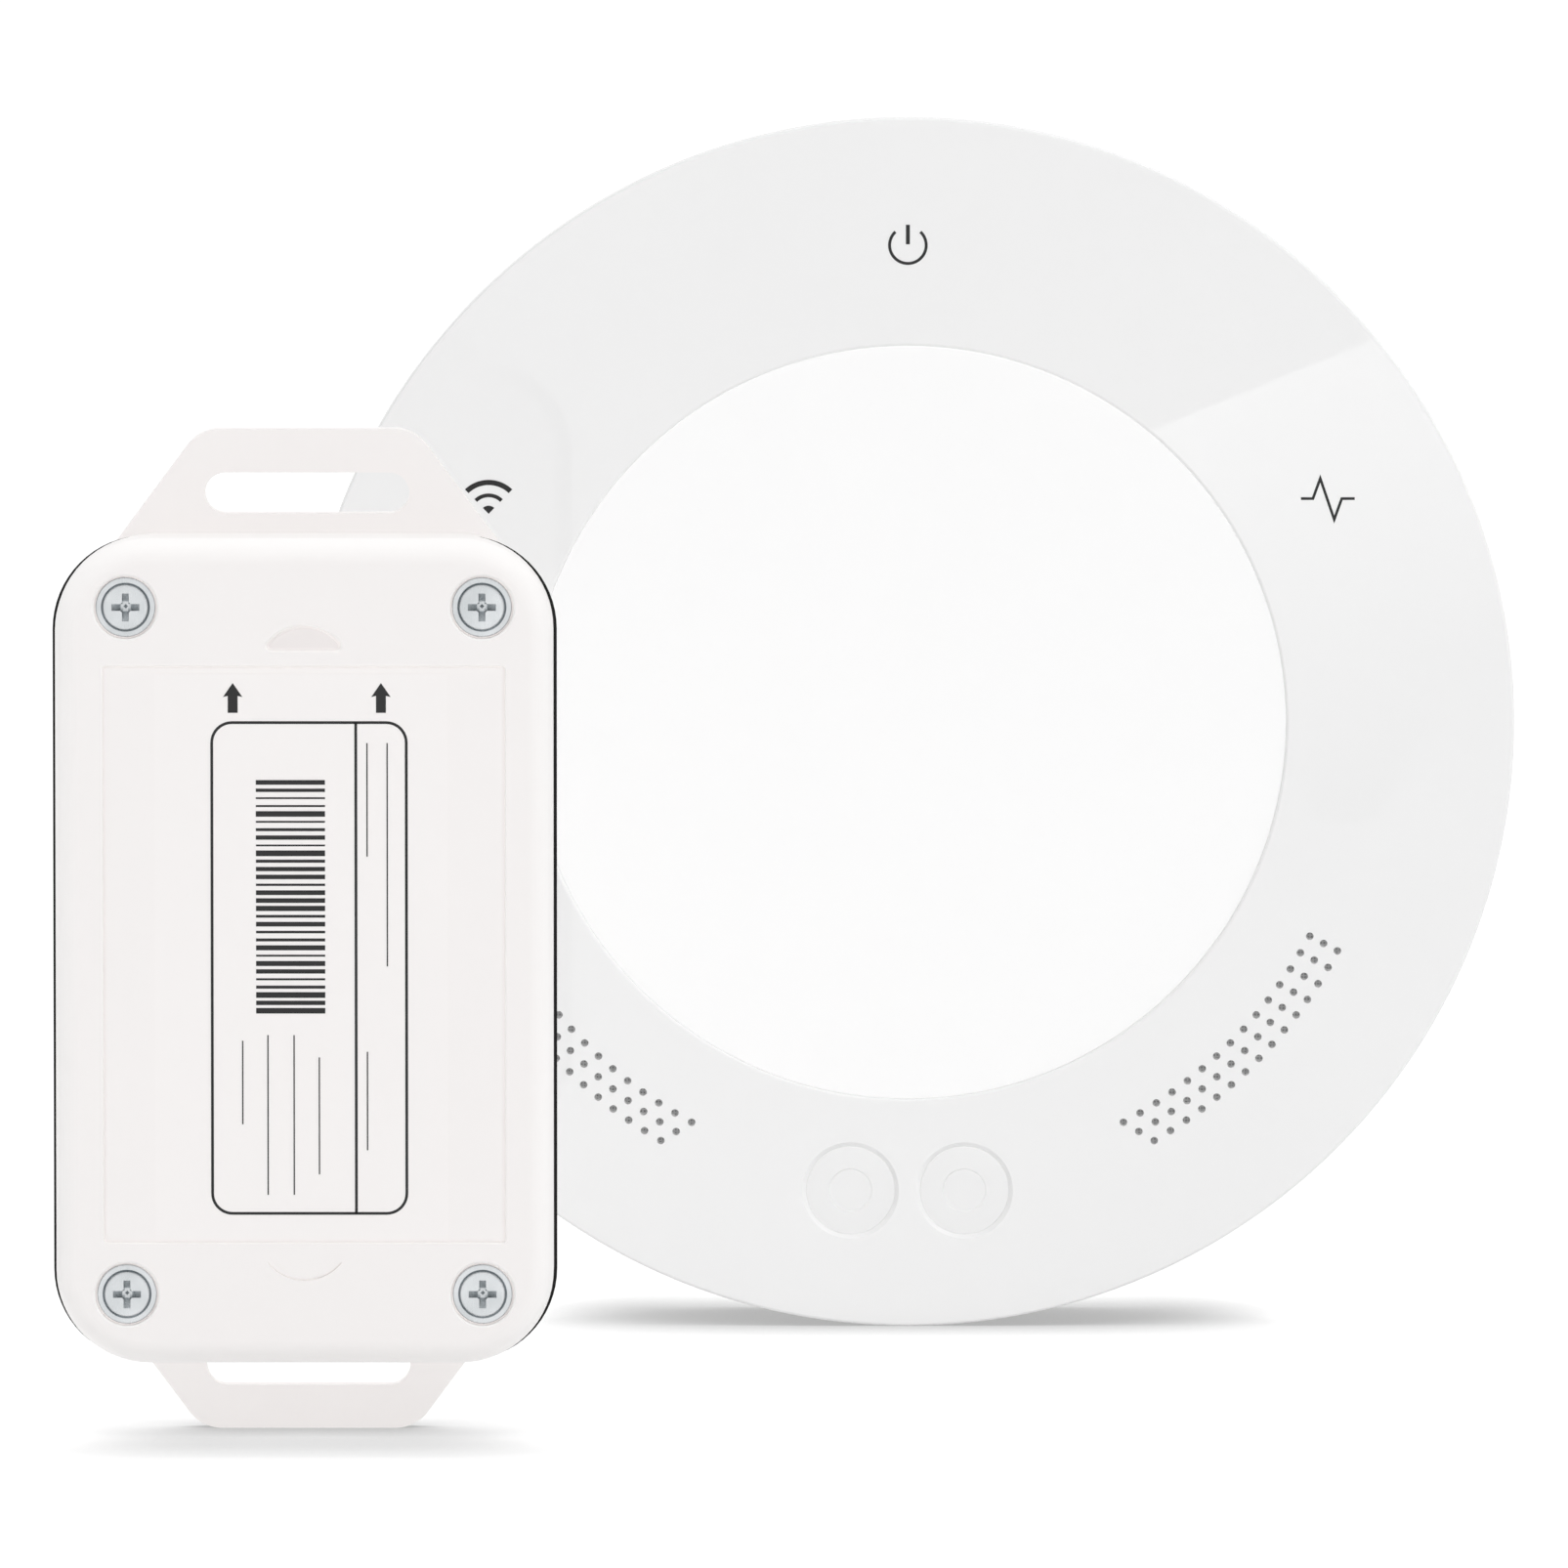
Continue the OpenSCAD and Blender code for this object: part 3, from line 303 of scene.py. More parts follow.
def moulded_skin():
    sheet, given, out, place = new_group("moulded_skin", [
        ("Colour", "colour"), ("Drift", "colour"), ("Drift amount", "value"), ("Edge", "colour"),
        ("Roughness", "value"), ("Handling", "value"), ("Grain", "value")])
    grain = sheet.noise(place, given["Grain"], 3.0)
    drift = sheet.spread(sheet.noise(place, DRIFT_SCALE), 0.35, 0.65, 0.0, 1.0)
    drift = sheet.times(drift, given["Drift amount"])
    face = sheet.mix(drift, given["Colour"], given["Drift"])
    # Above zero the attribute paints a highlight towards the edge colour, below zero it paints shade.
    edge = sheet.node("ShaderNodeAttribute", attribute_name="edge").outputs["Fac"]
    painted_light_colour = sheet.mix(edge, face, given["Edge"])
    painted_light_colour.node.clamp_factor = False
    sheet.put(painted_light_colour, out["Colour"])
    touched = sheet.spread(sheet.noise(place, HANDLED_SCALE, 4.0, 0.6), 0.4, 0.7, -1.0, 1.0)
    wear = sheet.times(touched, given["Handling"])
    sheet.put(sheet.math("ADD", given["Roughness"], wear), out["Roughness"])
    sheet.put(grain, out["Height"])
    return sheet.tree


SKIN = moulded_skin()
print("group", SKIN.name)

# %% [markdown]
# Plated and rolled metal shows drawn lines and a slight bloom. An anisotropic shader could give the lines,
# but a noise that is stretched along one axis also breaks them up, and a second one clouds the plating.

# %% Drawn metal
LINE_STRETCH, CLOUD_SCALE = 0.06, 260.0


def drawn_metal():
    sheet, given, out, place = new_group("drawn_metal", [
        ("Colour", "colour"), ("Bloom", "colour"), ("Roughness", "value"), ("Lines", "value")])
    stretched = sheet.node("ShaderNodeMapping", {"Vector": place, "Scale": (1.0, 1.0, LINE_STRETCH)})
    lines = sheet.noise(stretched.outputs[0], given["Lines"])
    cloud = sheet.spread(sheet.noise(place, CLOUD_SCALE, 3.0), 0.35, 0.7, 0.0, 1.0)
    sheet.put(sheet.mix(cloud, given["Colour"], given["Bloom"]), out["Colour"])
    wander = sheet.spread(lines, 0.3, 0.7, -0.06, 0.08)
    sheet.put(sheet.math("ADD", given["Roughness"], wander), out["Roughness"])
    sheet.put(lines, out["Height"])
    return sheet.tree


METAL = drawn_metal()
print("group", METAL.name)

# %% [markdown]
# The grille cloth is a plain weave, far too fine to model thread by thread. Waves at right angles give the
# threads, and holes lie where both are low.

# %% Woven cloth
FUZZ_SCALE, FUZZ = 2500.0, 0.08


def woven_cloth():
    sheet, given, out, place = new_group("woven_cloth", [
        ("Thread", "colour"), ("Hole", "colour"), ("Threads", "value"), ("Roughness", "value")])
    apart = sheet.node("ShaderNodeSeparateXYZ", {"Vector": place})

    def thread(axis):
        turned = sheet.times(axis, given["Threads"])
        return sheet.math("ABSOLUTE", sheet.math("SINE", turned))

    weave = sheet.math("MAXIMUM", thread(apart.outputs["X"]), thread(apart.outputs["Z"]))
    cover = sheet.spread(weave, 0.55, 0.95, 0.0, 1.0)
    sheet.put(sheet.mix(cover, given["Hole"], given["Thread"]), out["Colour"])
    fuzz = sheet.times(sheet.noise(place, FUZZ_SCALE), FUZZ)
    sheet.put(sheet.math("ADD", given["Roughness"], fuzz), out["Roughness"])
    sheet.put(weave, out["Height"])
    return sheet.tree


WEAVE = woven_cloth()
print("group", WEAVE.name)

# %% [markdown]
# A circuit board has copper tracks under its green mask. The boards lie inside, so no real layout is drawn:
# square cells of a Voronoi texture read as tracks and ground areas at this scale.

# %% Board mask
WEEP_SCALE, WEEP = 900.0, 0.1


def board_mask():
    sheet, given, out, place = new_group("board_mask", [
        ("Mask", "colour"), ("Over copper", "colour"), ("Tracks", "value"), ("Roughness", "value")])
    cells = sheet.node("ShaderNodeTexVoronoi", {"Vector": place, "Scale": given["Tracks"], "Randomness": 0.8},
                       feature="F1", distance="CHEBYCHEV")
    copper = sheet.spread(cells.outputs["Distance"], 0.28, 0.34, 0.0, 1.0)
    sheet.put(sheet.mix(copper, given["Over copper"], given["Mask"]), out["Colour"])
    weep = sheet.noise(place, WEEP_SCALE)
    sheet.put(sheet.math("ADD", given["Roughness"], sheet.times(weep, WEEP)), out["Roughness"])
    sheet.put(sheet.math("SUBTRACT", weep, copper), out["Height"])
    return sheet.tree


BOARD = board_mask()
print("group", BOARD.name)

# %% [markdown]
# ## Materials
# One material for each slot of the record, and one for the print. A group brings what changes over the
# surface, and the shader's own sockets hold what is the same all over.
# Colours are written as they should look under plain light.

# %% Material helpers
GRAIN_HEIGHT, LINE_HEIGHT, TRACK_HEIGHT = 0.00005, 0.00003, 0.00004
MATERIALS = {}


def srgb(red, green, blue):
    def line(value):
        value /= 255
        return value / 12.92 if value <= 0.04045 else ((value + 0.055) / 1.055) ** 2.4
    return (line(red), line(green), line(blue), 1.0)


def make_material(name, group, values, bump, height, plain=None):
    material = bpy.data.materials.new(name)
    material.use_nodes = True
    sheet = Sheet(material.node_tree)
    shader = material.node_tree.nodes["Principled BSDF"]
    effect = sheet.node("ShaderNodeGroup")
    effect.node_tree = group
    for label, value in values.items():
        effect.inputs[label].default_value = value
    raise_up = sheet.node("ShaderNodeBump", {"Height": effect.outputs["Height"], "Strength": bump,
                                             "Distance": height})
    sheet.put(effect.outputs["Colour"], shader.inputs["Base Color"])
    sheet.put(effect.outputs["Roughness"], shader.inputs["Roughness"])
    sheet.put(raise_up.outputs[0], shader.inputs["Normal"])
    for label, value in (plain or {}).items():
        shader.inputs[label].default_value = value
    MATERIALS[name] = material


def plastic(name, colour, drift, roughness, edge=None, handling=0.05, grain=2600.0, bump=0.06, plain=None):
    values = {"Colour": srgb(*colour), "Drift": srgb(*drift), "Drift amount": 0.5,
              "Edge": srgb(*(edge or colour)), "Roughness": roughness, "Handling": handling, "Grain": grain}
    make_material(name, SKIN, values, bump, GRAIN_HEIGHT, plain)


def metal(name, colour, bloom, roughness, lines=5200.0, bump=0.1):
    values = {"Colour": srgb(*colour), "Bloom": srgb(*bloom), "Roughness": roughness, "Lines": lines}
    make_material(name, METAL, values, bump, LINE_HEIGHT, {"Metallic": 1.0})


# %% Plastics, rubber and film
plastic("shell_white", (240, 240, 239), (234, 234, 232), 0.46, grain=2200.0, bump=0.12)
plastic("ring_gloss", (241, 241, 241), (240, 240, 240), 0.30, handling=0.01, grain=300.0, bump=0.006,
        plain={"Coat Weight": 0.6, "Coat Roughness": 0.01, "Specular IOR Level": 0.3})
plastic("disc_white", (251, 251, 251), (250, 250, 250), 0.42, bump=0.04)
plastic("button_white", (237, 237, 237), (236, 236, 236), 0.3, handling=0.01, grain=1500.0, bump=0.03)
# The lighter edge colour is a painted highlight on the case's leaning faces.
plastic("case_white", (243, 240, 239), (242, 239, 238), 0.44, edge=(247, 245, 244), grain=2400.0, bump=0.1)
plastic("label_film", (244, 241, 240), (243, 240, 239), 0.34, handling=0.03, grain=700.0, bump=0.02)
plastic("tape_pale", (225, 222, 214), (214, 211, 204), 0.6, grain=1800.0, bump=0.1)
# Near black with little sheen: the rubber's own colour, which also serves as a painted dark reflection along
# the lid's sides.
plastic("seal_black", (9, 9, 9), (16, 16, 16), 0.7, handling=0.08, grain=3000.0, bump=0.2,
        plain={"Specular IOR Level": 0.2})
plastic("gasket_black", (28, 28, 29), (40, 40, 41), 0.85, grain=1900.0, bump=0.6)
plastic("switch_black", (34, 34, 35), (44, 44, 45), 0.5, bump=0.12)
plastic("chip_black", (30, 30, 31), (42, 42, 42), 0.55, grain=3600.0, bump=0.15)
plastic("inlet_black", (26, 26, 27), (38, 38, 38), 0.45, bump=0.12)
plastic("speaker_grey", (74, 75, 77), (60, 61, 63), 0.6, bump=0.2)
plastic("relay_white", (232, 232, 228), (222, 221, 216), 0.45, bump=0.1)
plastic("terminal_green", (58, 128, 84), (48, 112, 72), 0.45, bump=0.12)
plastic("led_yellow", (240, 228, 170), (226, 208, 140), 0.3, bump=0.05)
plastic("symbol_ink", (12, 12, 13), (22, 22, 23), 0.42, handling=0.08, grain=4200.0, bump=0.05)
plastic("pipe_clear", (238, 242, 245), (228, 234, 240), 0.12, handling=0.04, grain=900.0, bump=0.02,
        plain={"Transmission Weight": 0.7, "IOR": 1.49})
print("plastics:", len(MATERIALS))

# %% Metals, cloth and boards
metal("plated_steel", (220, 223, 225), (203, 207, 209), 0.3)
metal("shield_tin", (196, 198, 200), (176, 178, 180), 0.36, lines=3800.0)
metal("contact_brass", (206, 170, 96), (186, 146, 74), 0.32)
metal("cell_steel", (200, 201, 203), (182, 184, 187), 0.28, lines=3000.0)
make_material("cloth_grey", WEAVE, {"Thread": srgb(176, 176, 176), "Hole": srgb(128, 128, 128),
                                    "Threads": 9000.0, "Roughness": 0.85},
              0.5, GRAIN_HEIGHT, {"Sheen Weight": 0.3})
make_material("board_green", BOARD, {"Mask": srgb(22, 86, 50), "Over copper": srgb(38, 116, 68),
                                     "Tracks": 420.0, "Roughness": 0.34}, 0.2, TRACK_HEIGHT)
print("materials:", sorted(MATERIALS))

# %% [markdown]
# ## Every CAD node gets its material
# The record says which slot each node belongs to, so one loop dresses the whole frame, and no node can be
# forgotten. The pieces that are made further on stand in for some of these nodes.

# %% Dress the frame
SLOT_OF = {part["node"]: part["material_slot"] for part in frame["record"]["subparts"]}
for name, obj in nodes.items():
    material = MATERIALS[SLOT_OF[name]]
    if not obj.material_slots:
        obj.data.materials.append(material)
    for slot in obj.material_slots:
        slot.material = material
print("dressed", len(nodes), "nodes")

# %% [markdown]
# ## Smooth skins
# The frame's meshes are made of flat triangles, fine for contact but not for close looks. The pieces that
# show are made again with many more steps round their curves: turned ones from a half section, moulded ones
# from stacked outlines. Subdivision would blur the crisp edges. Booleans cut the holes, and weighted
# normals keep large faces flat beside the fillets.

# %% Mesh helpers
THROUGH, PAST, BARELY = 1.0, 0.02, 0.01


def add_object(name, mesh):
    obj = bpy.data.objects.new(name, mesh)
    scene.collection.objects.link(obj)
    return obj


def from_bmesh(name, work):
    bmesh.ops.recalc_face_normals(work, faces=work.faces)
    mesh = bpy.data.meshes.new(name)
    work.to_mesh(mesh)
    work.free()
    return add_object(name, mesh)


def vertex(work, centre, back, x, out, z):
    """Vertex at (x, z) from the centre and some way out from the back, in mm."""
    return work.verts.new(((centre[0] + x) * MM, (back - out) * MM, (centre[1] + z) * MM))


def turned(name, section, steps, centre=(0.0, 0.0), back=0.0):
    """Turn a closed section of (radius, distance out) points, in mm, about an axis along Y."""
    work = bmesh.new()
    angles = [2 * math.pi * k / steps for k in range(steps)]
    rings = []
    for radius, out in section:
        around = angles if radius else angles[:1]
        rings.append([vertex(work, centre, back, radius * math.cos(angle), out, radius * math.sin(angle))
                      for angle in around])
    for first, second in zip(rings, rings[1:] + rings[:1]):
        for k in range(steps):
            corners = [first[k % len(first)], first[(k + 1) % len(first)],
                       second[(k + 1) % len(second)], second[k % len(second)]]
            corners = list(dict.fromkeys(corners))
            if len(corners) > 2:
                work.faces.new(corners)
    return from_bmesh(name, work)


def stack(work, levels, centre, back):
    loops = [[vertex(work, centre, back, x, out, z) for x, z in outline] for outline, out in levels]
    for first, second in zip(loops, loops[1:]):
        count = len(first)
        for k in range(count):
            work.faces.new([first[k], first[(k + 1) % count], second[(k + 1) % count], second[k]])
    work.faces.new(loops[0])
    work.faces.new(loops[-1])


def stacked(name, levels, centre=(0.0, 0.0), back=0.0):
    """Skin a stack of (outline, distance out) levels in mm."""
    work = bmesh.new()
    stack(work, levels, centre, back)
    return from_bmesh(name, work)


def arc(centre, radius, start, end, count):
    """Points on an arc, angles in degrees."""
    angles = [math.radians(start + (end - start) * k / count) for k in range(count + 1)]
    return [(centre[0] + radius * math.cos(a), centre[1] + radius * math.sin(a)) for a in angles]


def box_shape(x0, z0, x1, z1):
    return [(x0, z0), (x1, z0), (x1, z1), (x0, z1)]


# %% Finishing helpers
SOFT_ANGLE, SHARP_ANGLE = 40, 32
# Faces that lean from the front get a painted highlight that grows as they turn; a recess floor gets painted
# shade.
SIDE_ON, LEAN_GAIN = 0.08, 1.4
PAINTED_SHADE = -1.8


def apply_modifiers(obj):
    bpy.context.view_layer.update()
    view = bpy.context.evaluated_depsgraph_get()
    mesh = bpy.data.meshes.new_from_object(obj.evaluated_get(view))
    obj.modifiers.clear()
    old = obj.data
    obj.data = mesh
    mesh.name = old.name
    bpy.data.meshes.remove(old)
    return obj


def combine(obj, others, operation="DIFFERENCE"):
    for other in others:
        step = obj.modifiers.new("combine", "BOOLEAN")
        step.operation = operation
        step.solver = "EXACT"
        step.object = other
        apply_modifiers(obj)
        bpy.data.objects.remove(other)
    return obj


def soften(obj, width):
    bevel = obj.modifiers.new("soft edges", "BEVEL")
    bevel.width = width * MM
    bevel.segments = 3
    bevel.limit_method = "ANGLE"
    bevel.angle_limit = math.radians(SOFT_ANGLE)
    return apply_modifiers(obj)


def settle(obj, material):
    """Smooth shading with sharp edges kept, and one material."""
    mesh = obj.data
    mesh.materials.clear()
    mesh.materials.append(MATERIALS[material])
    mesh.polygons.foreach_set("material_index", [0] * len(mesh.polygons))
    mesh.polygons.foreach_set("use_smooth", [True] * len(mesh.polygons))
    mesh.set_sharp_from_angle(angle=math.radians(SHARP_ANGLE))
    weigh = obj.modifiers.new("flat faces lead", "WEIGHTED_NORMAL")
    weigh.keep_sharp = True
    return apply_modifiers(obj)


def paint_highlight_and_shade(obj, recess=None):
    """Paint a highlight on the faces that lean, and shade on the floor of a recess at this y in mm."""
    def lean(face):
        front = abs(face.normal.y)
        if recess is not None and abs(face.center.y / MM - recess) < BARELY:
            return PAINTED_SHADE
        return 0.0 if front < SIDE_ON else min(1.0, LEAN_GAIN * math.sqrt(max(0.0, 1 - front ** 2)))

    mark = obj.data.attributes.new("edge", "FLOAT", "FACE")
    mark.data.foreach_set("value", [lean(face) for face in obj.data.polygons])


def hand_over(piece, body, slot, *replaced, material=None):
    """Shade a finished piece and tell the frame where it rides and what it stands for."""
    settle(piece, material or slot)
    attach(piece, body)
    if replaced:
        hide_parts(*replaced)
    print(piece.name, "on", body, "-", len(piece.data.polygons), "faces")


# %% [markdown]
# ### Geometry nodes
# Node trees make what repeats: the grille's perforations, the screws and the label's bars. Loops in mesh
# code could place them too, but a tree keeps its sizes as named inputs. Each is built once, run on a
# carrier mesh, and turned into a plain mesh, because the export drops instances.

# %% Geometry node helpers
GEOMETRY_KINDS = {"geometry": "NodeSocketGeometry", "value": "NodeSocketFloat", "count": "NodeSocketInt",
                  "vector": "NodeSocketVector", "object": "NodeSocketObject",
                  "material": "NodeSocketMaterial"}


def new_tree(name, inputs):
    tree = bpy.data.node_groups.new(name, "GeometryNodeTree")
    for label, kind in inputs:
        tree.interface.new_socket(label, in_out="INPUT", socket_type=GEOMETRY_KINDS[kind])
    tree.interface.new_socket("Geometry", in_out="OUTPUT", socket_type="NodeSocketGeometry")
    sheet = Sheet(tree)
    given = sheet.node("NodeGroupInput").outputs
    leave = sheet.node("NodeGroupOutput")
    return sheet, given, leave


def close_tree(sheet, given, leave, instances):
    real = sheet.node("GeometryNodeRealizeInstances", {"Geometry": instances})
    coat = sheet.node("GeometryNodeSetMaterial", {"Geometry": real.outputs[0], "Material": given["Material"]})
    sheet.put(coat.outputs[0], leave.inputs["Geometry"])
    return sheet.tree


def run_tree(name, tree, values, points=None):
    mesh = bpy.data.meshes.new(name)
    mesh.from_pydata([tuple(v * MM for v in point) for point in points or [(0, 0, 0)]], [], [])
    obj = add_object(name, mesh)
    step = obj.modifiers.new(tree.name, "NODES")
    step.node_group = tree
    for item in tree.interface.items_tree:
        if item.in_out == "INPUT" and item.name in values:
            step[item.identifier] = values[item.name]
    return apply_modifiers(obj)


# %% [markdown]
# ## The hub's ring
# A glossy ring with a soft outer edge covers the hub's front. It could be a bevelled cylinder, but turning
# its half section gives each edge its own radius. Ninety perforations in two mirrored groups of three rows
# let the sound out, and a tree places their cutters by row, column and side. Two wells hold the buttons.

# %% Perforation tree


def perforation_tree():
    sheet, given, leave = new_tree("perforations", [
        ("Geometry", "geometry"), ("Rows", "value"), ("Holes", "value"), ("Outer row", "value"),
        ("Row step", "value"), ("Pitch", "value"), ("Start", "value"), ("Hole radius", "value"),
        ("Depth", "value"), ("Middle", "value"), ("Material", "material")])
    index = sheet.node("GeometryNodeInputIndex").outputs[0]
    a_side = sheet.times(given["Rows"], given["Holes"])
    side = sheet.math("FLOOR", sheet.math("DIVIDE", index, a_side))
    along = sheet.math("SUBTRACT", index, sheet.times(side, a_side))
    row = sheet.math("FLOOR", sheet.math("DIVIDE", along, given["Holes"]))
    column = sheet.math("SUBTRACT", along, sheet.times(row, given["Holes"]))
    radius = sheet.math("SUBTRACT", given["Outer row"], sheet.times(row, given["Row step"]))
    turn = sheet.math("DIVIDE", sheet.times(column, given["Pitch"]), radius)
    angle = sheet.math("ADD", given["Start"], turn)
    mirror = sheet.math("SUBTRACT", 1.0, sheet.times(side, 2.0))
    x = sheet.times(sheet.times(radius, sheet.math("COSINE", angle)), mirror)
    z = sheet.times(sheet.times(radius, sheet.math("SINE", angle)), -1.0)
    where = sheet.node("ShaderNodeCombineXYZ", {"X": x, "Y": given["Middle"], "Z": z})
    points = sheet.node("GeometryNodePoints", {"Count": sheet.times(a_side, 2.0),
                                               "Position": where.outputs[0]})
    drill = sheet.node("GeometryNodeMeshCylinder", {"Vertices": 20, "Radius": given["Hole radius"],
                                                    "Depth": given["Depth"]})
    placed = sheet.node("GeometryNodeInstanceOnPoints", {"Points": points.outputs[0],
                                                         "Instance": drill.outputs["Mesh"],
                                                         "Rotation": (math.pi / 2, 0.0, 0.0)})
    return close_tree(sheet, given, leave, placed.outputs[0])


# %% Ring
HUB_R, HUB_DEPTH = 67.5, 30.0
RING_T, RING_EDGE_R, RING_LIP_R = 2.2, 0.35, 0.4
RING_BACK = HUB_DEPTH - RING_T
BORE_R = 42.1
BUTTON_X, BUTTON_Z = 6.35, -52.3
WELL_R, WELL_BEVEL, WELL_DIP = 4.95, 0.45, 0.4

ring_section = [(BORE_R, RING_BACK), (HUB_R, RING_BACK)]
ring_section += arc((HUB_R - RING_EDGE_R, HUB_DEPTH - RING_EDGE_R), RING_EDGE_R, 0, 90, 10)
ring_section += arc((BORE_R + RING_LIP_R, HUB_DEPTH - RING_LIP_R), RING_LIP_R, 90, 180, 6)
ring = turned("ring_face", ring_section, 360)

drills = run_tree("perforation_drills", perforation_tree(), {
    "Rows": 3.0, "Holes": 15.0, "Outer row": 54.2 * MM, "Row step": 1.74 * MM, "Pitch": 2.13 * MM,
    "Start": math.radians(28), "Hole radius": 0.425 * MM, "Depth": 4 * RING_T * MM,
    "Middle": -(HUB_DEPTH - RING_T / 2) * MM, "Material": MATERIALS["ring_gloss"]})
print("drills:", len(drills.data.polygons), "faces")


def well_cutter(side):
    section = [(0, RING_BACK - THROUGH), (WELL_R, RING_BACK - THROUGH), (WELL_R, HUB_DEPTH - WELL_DIP),
               (WELL_R + 2 * WELL_BEVEL, HUB_DEPTH + WELL_DIP), (0, HUB_DEPTH + WELL_DIP)]
    return turned("well_cutter", section, 128, (side * BUTTON_X, BUTTON_Z))


combine(ring, [drills, well_cutter(-1), well_cutter(1)])
hand_over(ring, "hub", "ring_gloss", "ring_fascia")

# %% [markdown]
# The low fills would wash out the crescents of shade in the button wells. Light linking keeps the ring out of
# them, and every other piece stays in.

# %% Ring and low fills
unfilled = bpy.data.collections.new("kept_from_low_fills")
unfilled.objects.link(ring)
unfilled.collection_objects[0].light_linking.link_state = "EXCLUDE"
for name in LOW_FILLS:
    suns[name].light_linking.receiver_collection = unfilled
print("low fills leave out", ring.name)

# %% [markdown]
# ## The centre disc and the buttons
# The disc lies a little below the ring with a rounded rim, and three pegs behind it hold it in the housing.
# A button is a cap with a shallow dimple, a flange that keeps it behind the ring, and a stem to its switch.
# All of them are round, so turning a section gives each in one step.

# %% Centre disc
DISC_R, DISC_EDGE_R = BORE_R + 0.02, 0.15
DISC_BACK, DISC_FACE = 27.6, 29.5
PEGS, PEG_RING_R = 3, 30
PEG_R, PEG_TIP_R = 1.5, 1.2
PEG_TIP, PEG_CHAMFER, PEG_ROOT = 24.9, 25.2, 28.0
disc_section = [(0, DISC_BACK), (DISC_R, DISC_BACK)]
disc_section += arc((DISC_R - DISC_EDGE_R, DISC_FACE - DISC_EDGE_R), DISC_EDGE_R, 0, 90, 8)
disc_section += [(0, DISC_FACE)]
disc = turned("centre_plate", disc_section, 256)
peg_section = [(0, PEG_TIP), (PEG_TIP_R, PEG_TIP), (PEG_R, PEG_CHAMFER), (PEG_R, PEG_ROOT), (0, PEG_ROOT)]
for k in range(PEGS):
    angle = math.radians(90 + 360 / PEGS * k)
    peg_place = (PEG_RING_R * math.cos(angle), PEG_RING_R * math.sin(angle))
    combine(disc, [turned("peg", peg_section, 32, peg_place)], "UNION")
hand_over(disc, "hub", "disc_white", "centre_disc")

# %% Buttons
CAP_R, CAP_FACE, CAP_ROUND = 4.945, 29.7, 0.12
DIMPLE_RIM_R, DIMPLE_R, DIMPLE_DEPTH = 2.45, 2.28, 0.22
FLANGE_R, FLANGE_FRONT, FLANGE_BACK = 5.6, 27.7, 26.8
STEM_R, PLUNGER_TOP = 2.5, 23.2


def button_cap(side, body, node):
    section = [(0, PLUNGER_TOP), (STEM_R, PLUNGER_TOP), (STEM_R, FLANGE_BACK), (FLANGE_R, FLANGE_BACK),
               (FLANGE_R, FLANGE_FRONT), (CAP_R, FLANGE_FRONT)]
    section += arc((CAP_R - CAP_ROUND, CAP_FACE - CAP_ROUND), CAP_ROUND, 0, 90, 4)
    section += [(DIMPLE_RIM_R, CAP_FACE), (DIMPLE_R, CAP_FACE - DIMPLE_DEPTH), (0, CAP_FACE - DIMPLE_DEPTH)]
    cap = turned("cap_" + body, section, 128, (side * BUTTON_X, BUTTON_Z))
    hand_over(cap, body, "button_white", node)


button_cap(-1, "left_button", "button_left")
button_cap(1, "right_button", "button_right")

# %% [markdown]
# ## The hub's shells
# The two shells keep the frame's own shape, with its keyholes, vents and wiring bay, which would take long
# to draw again. A copy of each mesh is merged and shaded smooth, so the round back shows no facets. The
# normals that came with the mesh don't fit the merged corners, and are dropped first.

# %% Merged copies
MERGE_WITHIN, FLAT_WITHIN = 2e-6, 0.3


def smooth_copy(node, name):
    mesh = nodes[node].data.copy()
    mesh.name = name
    imported = mesh.attributes.get("custom_normal")
    if imported:
        mesh.attributes.remove(imported)
    work = bmesh.new()
    work.from_mesh(mesh)
    bmesh.ops.remove_doubles(work, verts=work.verts, dist=MERGE_WITHIN)
    bmesh.ops.dissolve_limit(work, angle_limit=math.radians(FLAT_WITHIN), verts=work.verts, edges=work.edges)
    work.to_mesh(mesh)
    work.free()
    hand_over(add_object(name, mesh), "hub", SLOT_OF[node], node)


smooth_copy("rear_housing", "hub_back_shell")
smooth_copy("front_housing", "hub_front_shell")

# %% [markdown]
# ## The sensor's case
# The lid is a rounded slab with a soft front edge, four screw wells, a shallow panel for the label and two
# thumb notches. The base lies back behind it and carries the flat strap tabs. A bevelled box would do from
# afar, but a stack of outlines makes corner and edge radii exact. The seal between them is a flat rubber
# frame. The lid laps over it, so that only a thin dark line shows along the sides and round the corners.
# That near-black line is partly the real seal and partly a painted dark reflection along the lid's sides.

# %% Sensor places
SENSOR_X = -65.1
SENSOR_BACK = -121.7
CASE_W, CASE_H, CASE_D, CASE_R = 52.7, 88.5, 25.4, 10.0
CASE_EDGE_R = 2.6
BASE_H, SEAL_T, BASE_STEP, CASE_WALL = 18.2, 1.2, 1.3, 2.0
LID_BACK = BASE_H + SEAL_T
LID_LAP = 0.3
BASE_W, BASE_V, BASE_R = CASE_W - 2 * BASE_STEP, CASE_H - 2 * BASE_STEP, CASE_R - BASE_STEP
TAB_OUT, TAB_T = 11.2, 2.2
SENSOR_Z = -HUB_R + TAB_OUT + BASE_V / 2
SENSOR_PLACE = {"centre": (SENSOR_X, SENSOR_Z), "back": SENSOR_BACK}
SCREW_INSET = 7.3
SCREW_X, SCREW_Z = CASE_W / 2 - SCREW_INSET, CASE_H / 2 - SCREW_INSET
